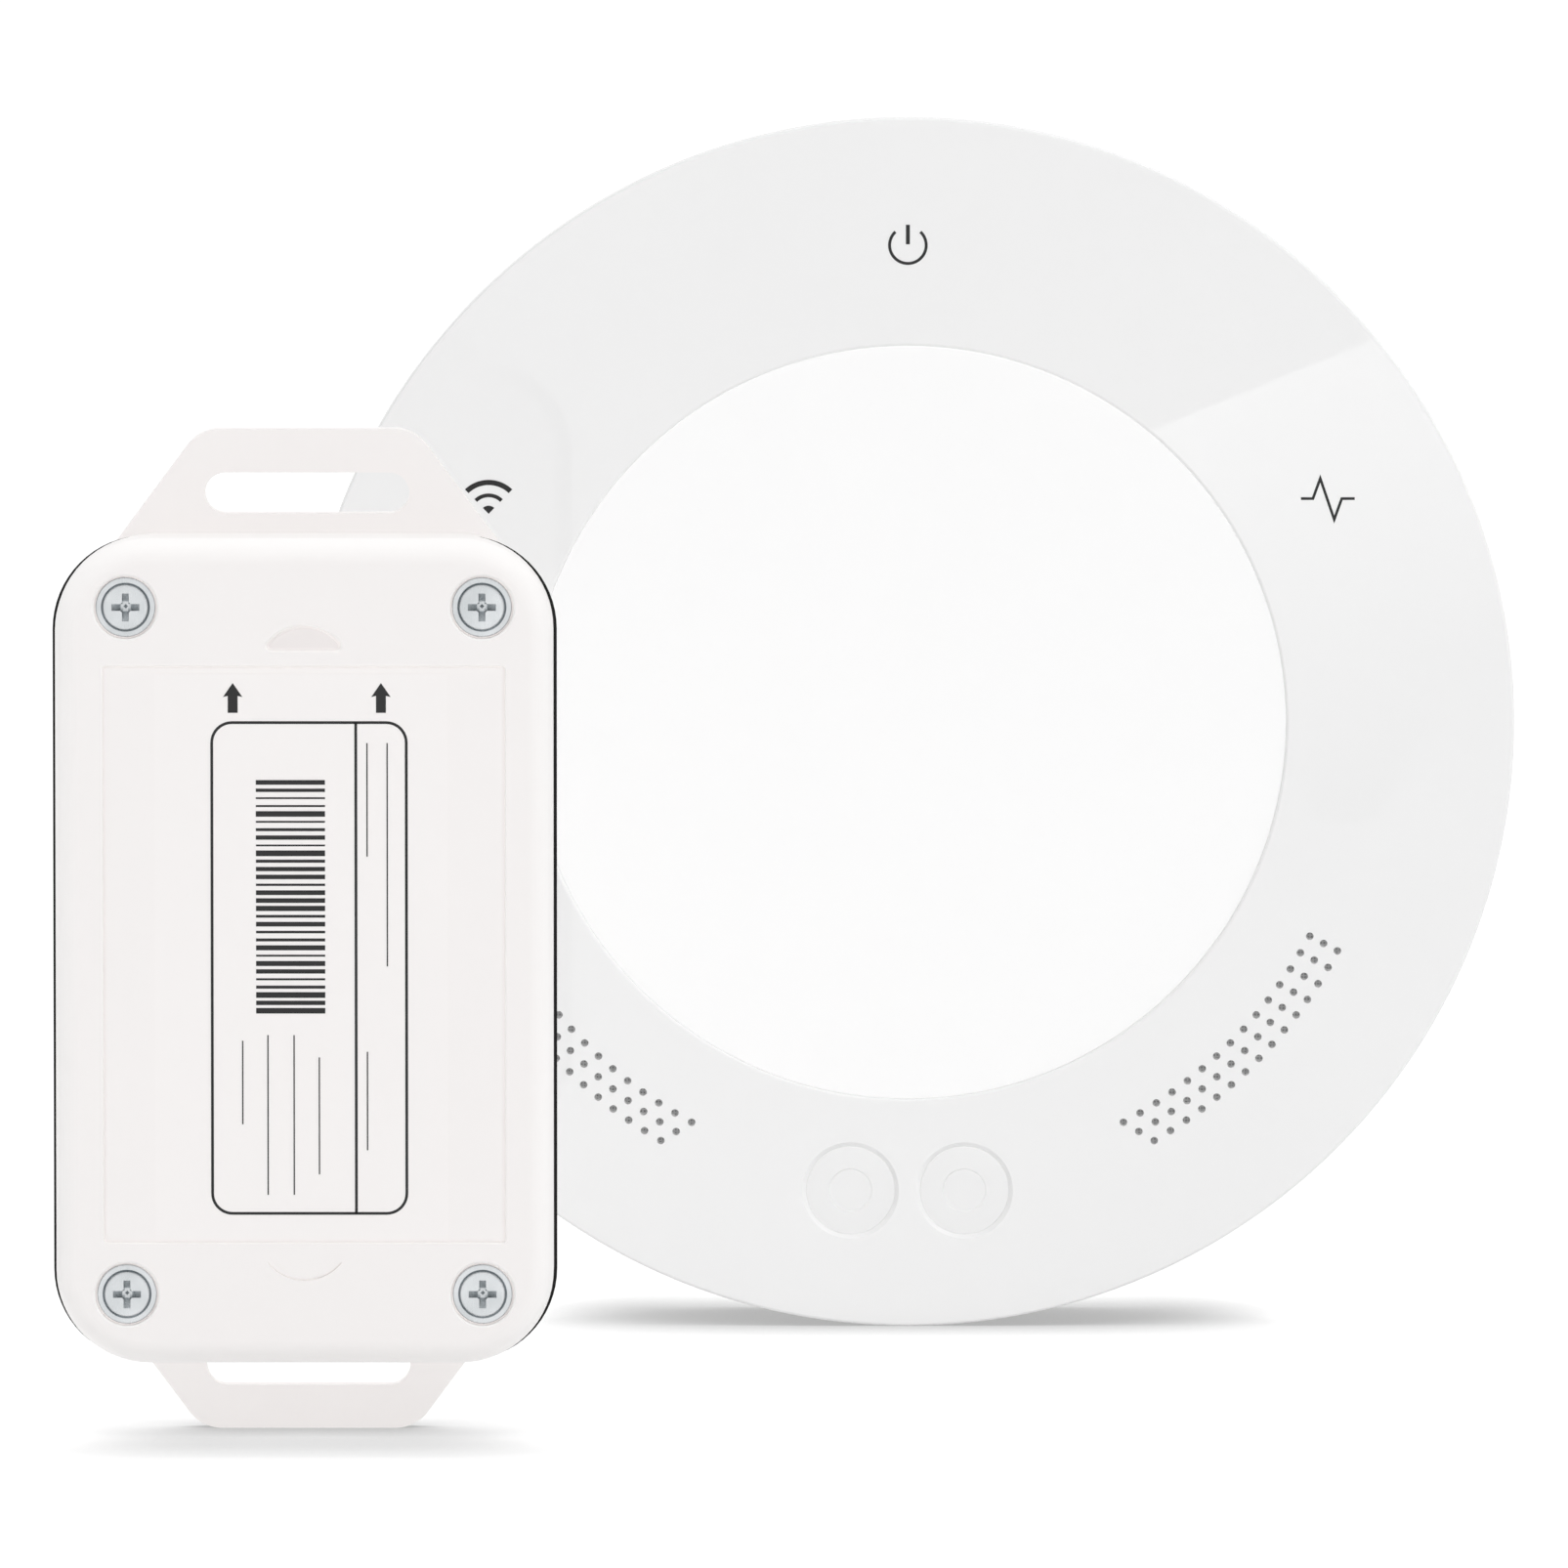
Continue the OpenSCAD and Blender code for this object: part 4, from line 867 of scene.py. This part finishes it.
SCREW_PLACES = [(SENSOR_X + sx * SCREW_X, SENSOR_Z + sz * SCREW_Z) for sx in (-1, 1) for sz in (-1, 1)]


def rounded(width, height, radius, count=16):
    """Outline of a rounded rectangle about the origin."""
    points = []
    for k, (sx, sz) in enumerate([(1, 1), (-1, 1), (-1, -1), (1, -1)]):
        centre = (sx * (width / 2 - radius), sz * (height / 2 - radius))
        points += arc(centre, radius, 90 * k, 90 * k + 90, count)
    return points


def rounded_at(inset, out):
    """Level of the lid, which laps over the seal at the long sides and at its lower end."""
    outline = rounded(CASE_W + 2 * (LID_LAP - inset), CASE_H + LID_LAP - 2 * inset, CASE_R - inset)
    return ([(x, z - LID_LAP / 2) for x, z in outline], out)


# %% Lid
LID_BACK_EDGE, EDGE_STEPS = 0.12, 10
HEAD_SEAT, HEAD_BORE_R = CASE_D - 2.6, 5.5 / 2
WELL_OUT_R, WELL_RIM, RIM_FLOOR = 6.8 / 2, 0.18, CASE_D - 0.9
GAP, GAP_FLOOR = 0.2, CASE_D - 1.8

lid_levels = [rounded_at(LID_BACK_EDGE, LID_BACK), rounded_at(0, LID_BACK + LID_BACK_EDGE)]
for k in range(EDGE_STEPS + 1):
    turn = math.radians(90 * k / EDGE_STEPS)
    lid_levels.append(rounded_at(CASE_EDGE_R * (1 - math.cos(turn)),
                                 CASE_D - CASE_EDGE_R * (1 - math.sin(turn))))
lid = stacked("sensor_lid", lid_levels, **SENSOR_PLACE)

cavity = rounded(BASE_W - 2 * CASE_WALL, BASE_V - 2 * CASE_WALL, BASE_R - CASE_WALL)
lid_cuts = [stacked("cavity", [(cavity, LID_BACK - THROUGH), (cavity, CASE_D - CASE_WALL)], **SENSOR_PLACE)]
well = [(0, HEAD_SEAT), (HEAD_BORE_R, HEAD_SEAT), (HEAD_BORE_R, RIM_FLOOR), (WELL_OUT_R - GAP, RIM_FLOOR),
        (WELL_OUT_R - GAP, GAP_FLOOR), (WELL_OUT_R, GAP_FLOOR), (WELL_OUT_R, CASE_D - WELL_RIM),
        (WELL_OUT_R + 2 * WELL_RIM, CASE_D + WELL_RIM), (0, CASE_D + WELL_RIM)]
lid_cuts += [turned("well", well, 64, place, SENSOR_BACK) for place in SCREW_PLACES]
print("lid:", len(lid.data.polygons), "faces,", len(lid_cuts), "cutters")

# %% [markdown]
# A narrow groove runs round the label's panel. The upper notch is a shallow dish with a groove round its
# floor, and that floor gets painted shade. The lower one shows only as a groove along its bow. Bump could
# draw these lines, but real grooves catch shade from every side.

# %% Panel and notches
PANEL_W, PANEL_H, PANEL_Z, PANEL_DEPTH = 43.0, 62.0, -0.35, 0.3
PANEL_BEVEL, NOTCH_BEVEL = 0.14, 0.22
NOTCH_W, NOTCH_H, NOTCH_DEPTH, NOTCH_CORNER = 8.8, 2.6, 0.35, 0.5
NOTCH_GAP = {1: 1.7, -1: 1.5}
NOTCH_R = (NOTCH_W ** 2 / 4 + NOTCH_H ** 2) / (2 * NOTCH_H)
GROOVE_W, GROOVE_FLOOR = 0.22, CASE_D - 0.8
PANEL_PLACE = {"centre": (SENSOR_X, SENSOR_Z + PANEL_Z), "back": SENSOR_BACK}


def panel_outline(grow, radius):
    return rounded(PANEL_W + 2 * grow, PANEL_H + 2 * grow, radius, 4)


def notch_outline(sign, grow, shift=0.0):
    """Flat bow with rounded corners, its straight side towards the panel."""
    corner = NOTCH_CORNER + grow
    radius = NOTCH_R + grow
    middle = NOTCH_H - NOTCH_R
    lift = corner - grow - middle
    across = math.sqrt((radius - corner) ** 2 - lift ** 2)
    meet = math.degrees(math.atan2(lift, across))
    right = arc((across, corner - grow), corner, -90, meet, 6)
    left = [(-x, z) for x, z in reversed(right)]
    bow = arc((0, middle), radius, meet, 180 - meet, 24)[1:-1]
    foot = PANEL_H / 2 + NOTCH_GAP[sign] - shift
    return [(sign * x, sign * (foot + z)) for x, z in right + bow + left]


def groove(outer, inner, top):
    """Cutter for what lies between two outlines."""
    cutter = stacked("groove", [(outer, GROOVE_FLOOR), (outer, top)], **PANEL_PLACE)
    tongue = [(inner, GROOVE_FLOOR - THROUGH), (inner, top + THROUGH)]
    return combine(cutter, [stacked("tongue", tongue, **PANEL_PLACE)])


lid_cuts += [stacked("panel", [(panel_outline(0, 0.3), CASE_D - PANEL_DEPTH),
                               (panel_outline(PANEL_BEVEL, 0.5), CASE_D + PAST)], **PANEL_PLACE),
             groove(panel_outline(-PAST / 2, 0.3), panel_outline(-GROOVE_W, 0.15), CASE_D - PANEL_DEPTH / 2),
             groove(notch_outline(-1, 0), notch_outline(-1, 0, GROOVE_W), CASE_D + PAST),
             groove(notch_outline(1, -PAST), notch_outline(1, -GROOVE_W), CASE_D - NOTCH_DEPTH / 2),
             stacked("notch", [(notch_outline(1, 0), CASE_D - NOTCH_DEPTH),
                               (notch_outline(1, NOTCH_BEVEL), CASE_D + PAST)], **PANEL_PLACE)]
combine(lid, lid_cuts)
hand_over(lid, "sensor", "case_white", "sensor_cover")
# Painted highlight on the lid's leaning faces, painted shade on the upper notch's floor.
paint_highlight_and_shade(lid, SENSOR_BACK - CASE_D + NOTCH_DEPTH)

# %% [markdown]
# The strap tabs are flat trapezoids with round corners that run into the base. The base, its tabs and the
# slots are joined and cut first. A small bevel then softens every edge at once, as a mould would, where
# bevels made before the joins would break off at them.

# %% Base and tabs
TAB_ROOT, TAB_END, TAB_END_R = 39.6 / 2, 23.2 / 2, 4.5
TAB_FOOT = [(TAB_ROOT - 2, -8), (TAB_ROOT + 1.2, -1.5)]
SLOT_L, SLOT_W, SLOT_INSET = 22.0, 4.4, 6.9
BASE_SOFT = 0.3


def tab_outline(sign):
    lean = math.hypot(TAB_ROOT - TAB_END, TAB_OUT)
    centre_x = TAB_ROOT - (TAB_END_R * lean + (TAB_ROOT - TAB_END) * (TAB_OUT - TAB_END_R)) / TAB_OUT
    slope = math.degrees(math.atan2(TAB_ROOT - TAB_END, TAB_OUT))
    right = TAB_FOOT + arc((centre_x, TAB_OUT - TAB_END_R), TAB_END_R, slope, 90, 14)
    left = [(-x, z) for x, z in reversed(right)]
    return [(sign * x, sign * (BASE_V / 2 + z)) for x, z in right + left]


def slot_outline(sign):
    half = (SLOT_L - SLOT_W) / 2
    points = arc((half, 0), SLOT_W / 2, -90, 90, 14) + arc((-half, 0), SLOT_W / 2, 90, 270, 14)
    return [(x, sign * (BASE_V / 2 + TAB_OUT - SLOT_INSET) + z) for x, z in points]


base_outline = rounded(BASE_W, BASE_V, BASE_R)
base = stacked("sensor_body", [(base_outline, 0), (base_outline, BASE_H)], **SENSOR_PLACE)
tabs = [stacked("tab", [(tab_outline(s), 0), (tab_outline(s), TAB_T)], **SENSOR_PLACE) for s in (-1, 1)]
combine(base, tabs, "UNION")
slots = [slot_outline(s) for s in (-1, 1)]
base_cuts = [stacked("slot", [(slot, -THROUGH), (slot, TAB_T + THROUGH)], **SENSOR_PLACE) for slot in slots]
base_cuts.append(stacked("hollow", [(cavity, CASE_WALL), (cavity, BASE_H + THROUGH)], **SENSOR_PLACE))
combine(base, base_cuts)
soften(base, BASE_SOFT)
hand_over(base, "sensor", "case_white", "sensor_base")
# Painted highlight on the base's leaning faces.
paint_highlight_and_shade(base)

# %% Seal
# The seal stands out only at the sides and round the corners, where its black line is also a painted dark
# reflection on the lid's sides.
SEAL_PROUD, SEAL_EDGE = 0.65, 0.25
SEAL_TOP, SEAL_LOW = CASE_H / 2 - 0.15, -CASE_H / 2 - 0.55


def seal_at(inset, out):
    outline = rounded(CASE_W + 2 * (SEAL_PROUD - inset), SEAL_TOP - SEAL_LOW - 2 * inset, CASE_R - inset)
    return ([(x, z + (SEAL_TOP + SEAL_LOW) / 2) for x, z in outline], out)


seal_levels = [seal_at(SEAL_EDGE, BASE_H), seal_at(0, BASE_H + SEAL_EDGE),
               seal_at(0, LID_BACK - SEAL_EDGE), seal_at(SEAL_EDGE, LID_BACK)]
seal = stacked("sensor_seal_frame", seal_levels, **SENSOR_PLACE)
opening = [(cavity, BASE_H - THROUGH), (cavity, LID_BACK + THROUGH)]
combine(seal, [stacked("opening", opening, **SENSOR_PLACE)])
hand_over(seal, "sensor", "seal_black", "sensor_seal")

# %% [markdown]
# ## Screws
# Four plated screws with a cross recess and a collar hold the sensor's lid, and a thin gap of shade parts
# each collar from the rim of its well. Four plain ones hold the hub at its back, and the terminal block has
# eight slotted clamp screws. One screw of each kind is modelled, and one node tree places them all.

# %% Screw tree
STEEL = "plated_steel"
FORWARD, BACKWARD = (0.0, 0.0, 0.0), (math.pi, 0.0, 0.0)


def screw_tree():
    sheet, given, leave = new_tree("place_screws", [("Geometry", "geometry"), ("Screw", "object"),
                                                    ("Turn", "vector"), ("Material", "material")])
    points = sheet.node("GeometryNodeMeshToPoints", {"Mesh": given["Geometry"]})
    screw = sheet.node("GeometryNodeObjectInfo", {"Object": given["Screw"], "As Instance": True})
    placed = sheet.node("GeometryNodeInstanceOnPoints", {"Points": points.outputs[0],
                                                         "Instance": screw.outputs["Geometry"],
                                                         "Rotation": given["Turn"]})
    return close_tree(sheet, given, leave, placed.outputs[0])


SCREWS = screw_tree()


def place_screws(name, screw, turn, points, body, node):
    """One piece with a copy of the screw at each point, in mm."""
    values = {"Screw": screw, "Turn": turn, "Material": MATERIALS[STEEL]}
    hand_over(run_tree(name, SCREWS, values, points), body, STEEL, node)
    bpy.data.objects.remove(screw)


# %% Screw with a cross recess
BLADE_REACH, BLADE_W, BLADE_DEPTH = 0.62, 0.3, 0.65
TIP_REACH, TIP_W = 0.35, 0.7


def blade(reach, width, depth, top, upright):
    """Tapered blade through the axis, wide at the top and narrow at its tip, in mm."""
    high = box_shape(-reach, -width / 2, reach, width / 2)
    low = [(x * TIP_REACH, z * TIP_W) for x, z in high]
    levels = [(low, top - depth), (high, top + BARELY)]
    if upright:
        levels = [([(z, x) for x, z in outline], out) for outline, out in levels]
    return stacked("blade", levels)


def cross_screw(name, head_r, head_h, crown, shank_r, shank_l, collar=()):
    """Pan head on a shank, head towards -Y, its seat at the origin."""
    section = [(0, -shank_l), (shank_r / 2, -shank_l), (shank_r, -shank_l + shank_r), (shank_r, 0)]
    section += [(head_r, 0), *collar]
    section += arc((head_r - crown, head_h - crown), crown, 0, 90, 6)
    section += [(0, head_h)]
    core = [(0, head_h * 0.2), (head_r * 0.1, head_h * 0.35), (head_r * 0.38, head_h + BARELY),
            (0, head_h + BARELY)]
    cuts = [blade(head_r * BLADE_REACH, head_r * BLADE_W, head_h * BLADE_DEPTH, head_h, upright)
            for upright in (False, True)]
    return combine(turned(name, section, 64), cuts + [turned("core", core, 4)])


# %% Screws of the sensor and the hub
HEAD_PLAY, HEAD_SUNK, HEAD_CROWN = 0.32, 0.25, 0.3
HEAD_R, HEAD_H = HEAD_BORE_R - HEAD_PLAY, CASE_D - HEAD_SUNK - HEAD_SEAT
COLLAR_R, COLLAR_T, COLLAR_EDGE = WELL_OUT_R - GAP, 0.3, 0.1
HEAD_GROOVE_W, HEAD_GROOVE_D = 0.2, 0.28
SHANK_R, SENSOR_SHANK, HUB_SHANK = 1.5, 12.0, 16.0
HUB_HEAD_R, HUB_HEAD_H, HUB_CROWN = 2.75, 2.0, 0.7
HUB_SCREW_X, HUB_SCREW_SEAT, HUB_SCREW_ZS = 32, -5, (36, -22)
collar_low = RIM_FLOOR - HEAD_SEAT + PAST
collar_high = collar_low + COLLAR_T
collar = [(HEAD_R, collar_low), (COLLAR_R, collar_low), (COLLAR_R, collar_high - COLLAR_EDGE),
          (COLLAR_R - COLLAR_EDGE, collar_high), (HEAD_R + HEAD_GROOVE_W, collar_high),
          (HEAD_R, collar_high - HEAD_GROOVE_D)]
sensor_screw = cross_screw("sensor_screw", HEAD_R, HEAD_H, HEAD_CROWN, SHANK_R, SENSOR_SHANK, collar)
place_screws("sensor_lid_screws", sensor_screw, FORWARD,
             [(x, SENSOR_BACK - HEAD_SEAT, z) for x, z in SCREW_PLACES], "sensor", "sensor_screws")
hub_screw = cross_screw("hub_screw", HUB_HEAD_R, HUB_HEAD_H, HUB_CROWN, SHANK_R, HUB_SHANK)
place_screws("hub_back_screws", hub_screw, BACKWARD,
             [(sx * HUB_SCREW_X, HUB_SCREW_SEAT, z) for sx in (-1, 1) for z in HUB_SCREW_ZS],
             "hub", "housing_screws")

# %% Clamp screws
CLAMP_R, CLAMP_CHAMFER = 1.3, 0.25
CLAMP_SLOT_W, CLAMP_SLOT_D = 0.44, 0.7
POLES, POLE_PITCH = 8, 3.81
low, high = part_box("terminal_screws")
clamp_h = (high.y - low.y) / MM
clamp = turned("clamp_screw", [(0, 0), (CLAMP_R, 0), (CLAMP_R, clamp_h - CLAMP_CHAMFER),
                               (CLAMP_R - CLAMP_CHAMFER, clamp_h), (0, clamp_h)], 32)
reach = CLAMP_R + THROUGH
clamp_slot = box_shape(-reach, -CLAMP_SLOT_W / 2, reach, CLAMP_SLOT_W / 2)
combine(clamp, [stacked("slot", [(clamp_slot, clamp_h - CLAMP_SLOT_D), (clamp_slot, clamp_h + THROUGH)])])
first_x = low.x / MM + CLAMP_R
place_screws("clamp_screws", clamp, BACKWARD,
             [(first_x + POLE_PITCH * k, low.y / MM, (low.z + high.z) / 2 / MM) for k in range(POLES)],
             "hub", "terminal_screws")

# %% [markdown]
# ## Printed symbols on the ring
# Three status symbols are printed over the light pipes: power at the top, wireless arcs at the left, a
# pulse line at the right. A mask in the ring's material could draw them, but thin raised prints from arcs
# and strokes keep crisp edges. They are sunk a hair into the ring, so that no gap shows.

# %% Print helpers
PRINT_UP, PRINT_DOWN = 0.03, 0.02
INK, INK_SLOT = "symbol_ink", "chip_black"


def printed(name, shapes, surface, centre, body):
    """Flat outlines in mm, raised off a face at the given y."""
    work = bmesh.new()
    for shape in shapes:
        stack(work, [(shape, -PRINT_DOWN), (shape, PRINT_UP)], centre, surface)
    hand_over(from_bmesh(name, work), body, INK_SLOT, material=INK)


def band(radius_in, radius_out, start, end, count=24):
    outer = arc((0, 0), radius_out, start, end, count)
    if radius_in <= 0:
        return [(0, 0)] + outer
    return outer + arc((0, 0), radius_in, end, start, count)


def stroke(points, width):
    """Outline of an open line of constant width with mitred corners."""
    sides = []
    for k, point in enumerate(points):
        before = Vector(point) - Vector(points[k - 1]) if k else Vector(points[1]) - Vector(point)
        after = Vector(points[k + 1]) - Vector(point) if k + 1 < len(points) else before
        before, after = before.normalized(), after.normalized()
        across = (Vector((-before.y, before.x)) + Vector((-after.y, after.x))).normalized()
        length = width / 2 / max(0.3, across.dot(Vector((-before.y, before.x))))
        sides.append((Vector(point) + across * length, Vector(point) - across * length))
    return [tuple(a) for a, b in sides] + [tuple(b) for a, b in reversed(sides)]


# %% Symbols
RING_FACE = -HUB_DEPTH
POWER_PLACE, WIRELESS_PLACE, PULSE_PLACE = (0.0, 53.35), (-46.6, 23.4), (46.7, 25.1)
WIRELESS_BANDS = [(0, 0.91), (1.85, 2.27), (3.21, 3.79)]
PULSE = [(-2.99, 0), (-1.66, 0), (-0.85, 2.24), (0.71, -2.33), (1.55, 0), (2.99, 0)]
PULSE_LINE = 0.3
power = [band(1.87, 2.2, 133, 407, 48), box_shape(-0.22, 0.1, 0.22, 2.28)]
printed("power_symbol", power, RING_FACE, POWER_PLACE, "hub")
wireless = [band(radius_in, radius_out, 46, 134) for radius_in, radius_out in WIRELESS_BANDS]
printed("wireless_symbol", wireless, RING_FACE, WIRELESS_PLACE, "hub")
printed("pulse_symbol", [stroke(PULSE, PULSE_LINE)], RING_FACE, PULSE_PLACE, "hub")

# %% [markdown]
# ## The sensor's label
# The film in the panel carries a printed frame with a divider, two arrows that say which end goes up, thin
# ruled lines and a strip of plain bars. The bars are of this lesson's own: a tree sets their widths from a
# fixed seed, so that they come out the same each time.

# %% Frame and arrows
LABEL_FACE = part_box("sensor_label")[0].y / MM
LABEL_CENTRE = (SENSOR_X, SENSOR_Z)
FRAME_LINE = 0.3
FRAME_W, FRAME_H, FRAME_R = 21.1, 53.1, 2.3
FRAME_X, FRAME_Z = 0.55, -1.8
DIVIDER_X = 5.4
ARROW = [(0, 1.6), (-1.04, 0.1), (-0.53, 0.22), (-0.53, -1.6), (0.53, -1.6), (0.53, 0.22), (1.04, 0.1)]
ARROW_XS, ARROW_Z = (-7.6, 8.25), 27.25


def frame_halves():
    """The frame as two open loops, so that each is one plain outline."""
    outer = rounded(FRAME_W, FRAME_H, FRAME_R, 10)
    inner = rounded(FRAME_W - 2 * FRAME_LINE, FRAME_H - 2 * FRAME_LINE, FRAME_R - FRAME_LINE, 10)
    half = len(outer) // 2
    first = outer[:half + 1] + inner[:half + 1][::-1]
    second = outer[half:] + outer[:1] + inner[:1] + inner[half:][::-1]
    return [[(FRAME_X + x, FRAME_Z + z) for x, z in part] for part in (first, second)]


half_h = (FRAME_H - FRAME_LINE) / 2
divider = box_shape(DIVIDER_X, FRAME_Z - half_h, DIVIDER_X + FRAME_LINE, FRAME_Z + half_h)
arrows = [[(x + dx, ARROW_Z + dz) for dx, dz in ARROW] for x in ARROW_XS]
printed("label_frame", frame_halves() + [divider] + arrows, LABEL_FACE, LABEL_CENTRE, "sensor")

# %% Ruled lines
RULE = 0.14
RULES = [(8.9, 22.4, -1.6), (6.75, 22.4, 10.2), (6.75, -10.8, -21.4), (1.6, -11.4, -24.0),
         (-1.1, -9.0, -26.2), (-3.9, -9.0, -26.2), (-6.6, -9.6, -18.6)]
rules = [box_shape(x - RULE / 2, z_low, x + RULE / 2, z_high) for x, z_high, z_low in RULES]
printed("label_rules", rules, LABEL_FACE, LABEL_CENTRE, "sensor")

# %% Bars
BARS, BARS_TOP, BARS_LOW, BARS_X = 30, 18.6, -6.8, -1.45
BAR_L, BAR_THIN, BAR_THICK, BAR_SEED = 7.4, 0.16, 0.62, 7


def bar_tree():
    sheet, given, leave = new_tree("label_bars", [
        ("Geometry", "geometry"), ("Bars", "count"), ("Pitch", "value"), ("Length", "value"),
        ("Thin", "value"), ("Thick", "value"), ("Height", "value"), ("Seed", "count"), ("Start", "vector"),
        ("Material", "material")])
    index = sheet.node("GeometryNodeInputIndex").outputs[0]
    drop = sheet.times(sheet.times(index, given["Pitch"]), -1.0)
    step = sheet.node("ShaderNodeCombineXYZ", {"Z": drop})
    where = sheet.node("ShaderNodeVectorMath", {0: given["Start"], 1: step.outputs[0]}, operation="ADD")
    points = sheet.node("GeometryNodePoints", {"Count": given["Bars"], "Position": where.outputs[0]})
    chance = sheet.node("FunctionNodeRandomValue", {"Seed": given["Seed"]}, data_type="FLOAT")
    sheet.put(given["Thin"], chance.inputs[2])
    sheet.put(given["Thick"], chance.inputs[3])
    scale = sheet.node("ShaderNodeCombineXYZ", {"X": given["Length"], "Y": given["Height"],
                                                "Z": chance.outputs[1]})
    bar = sheet.node("GeometryNodeMeshCube", {"Size": (1.0, 1.0, 1.0)})
    placed = sheet.node("GeometryNodeInstanceOnPoints", {"Points": points.outputs[0],
                                                         "Instance": bar.outputs[0],
                                                         "Scale": scale.outputs[0]})
    return close_tree(sheet, given, leave, placed.outputs[0])


pitch = (BARS_TOP - BARS_LOW) / BARS
bars = run_tree("label_bars", bar_tree(), {
    "Bars": BARS, "Pitch": pitch * MM, "Length": BAR_L * MM, "Thin": BAR_THIN * MM, "Thick": BAR_THICK * MM,
    "Height": (PRINT_UP + PRINT_DOWN) * MM, "Seed": BAR_SEED,
    "Start": ((SENSOR_X + BARS_X) * MM, (LABEL_FACE - (PRINT_UP - PRINT_DOWN) / 2) * MM,
              (SENSOR_Z + BARS_TOP - pitch / 2) * MM),
    "Material": MATERIALS[INK]})
hand_over(bars, "sensor", INK_SLOT, material=INK)
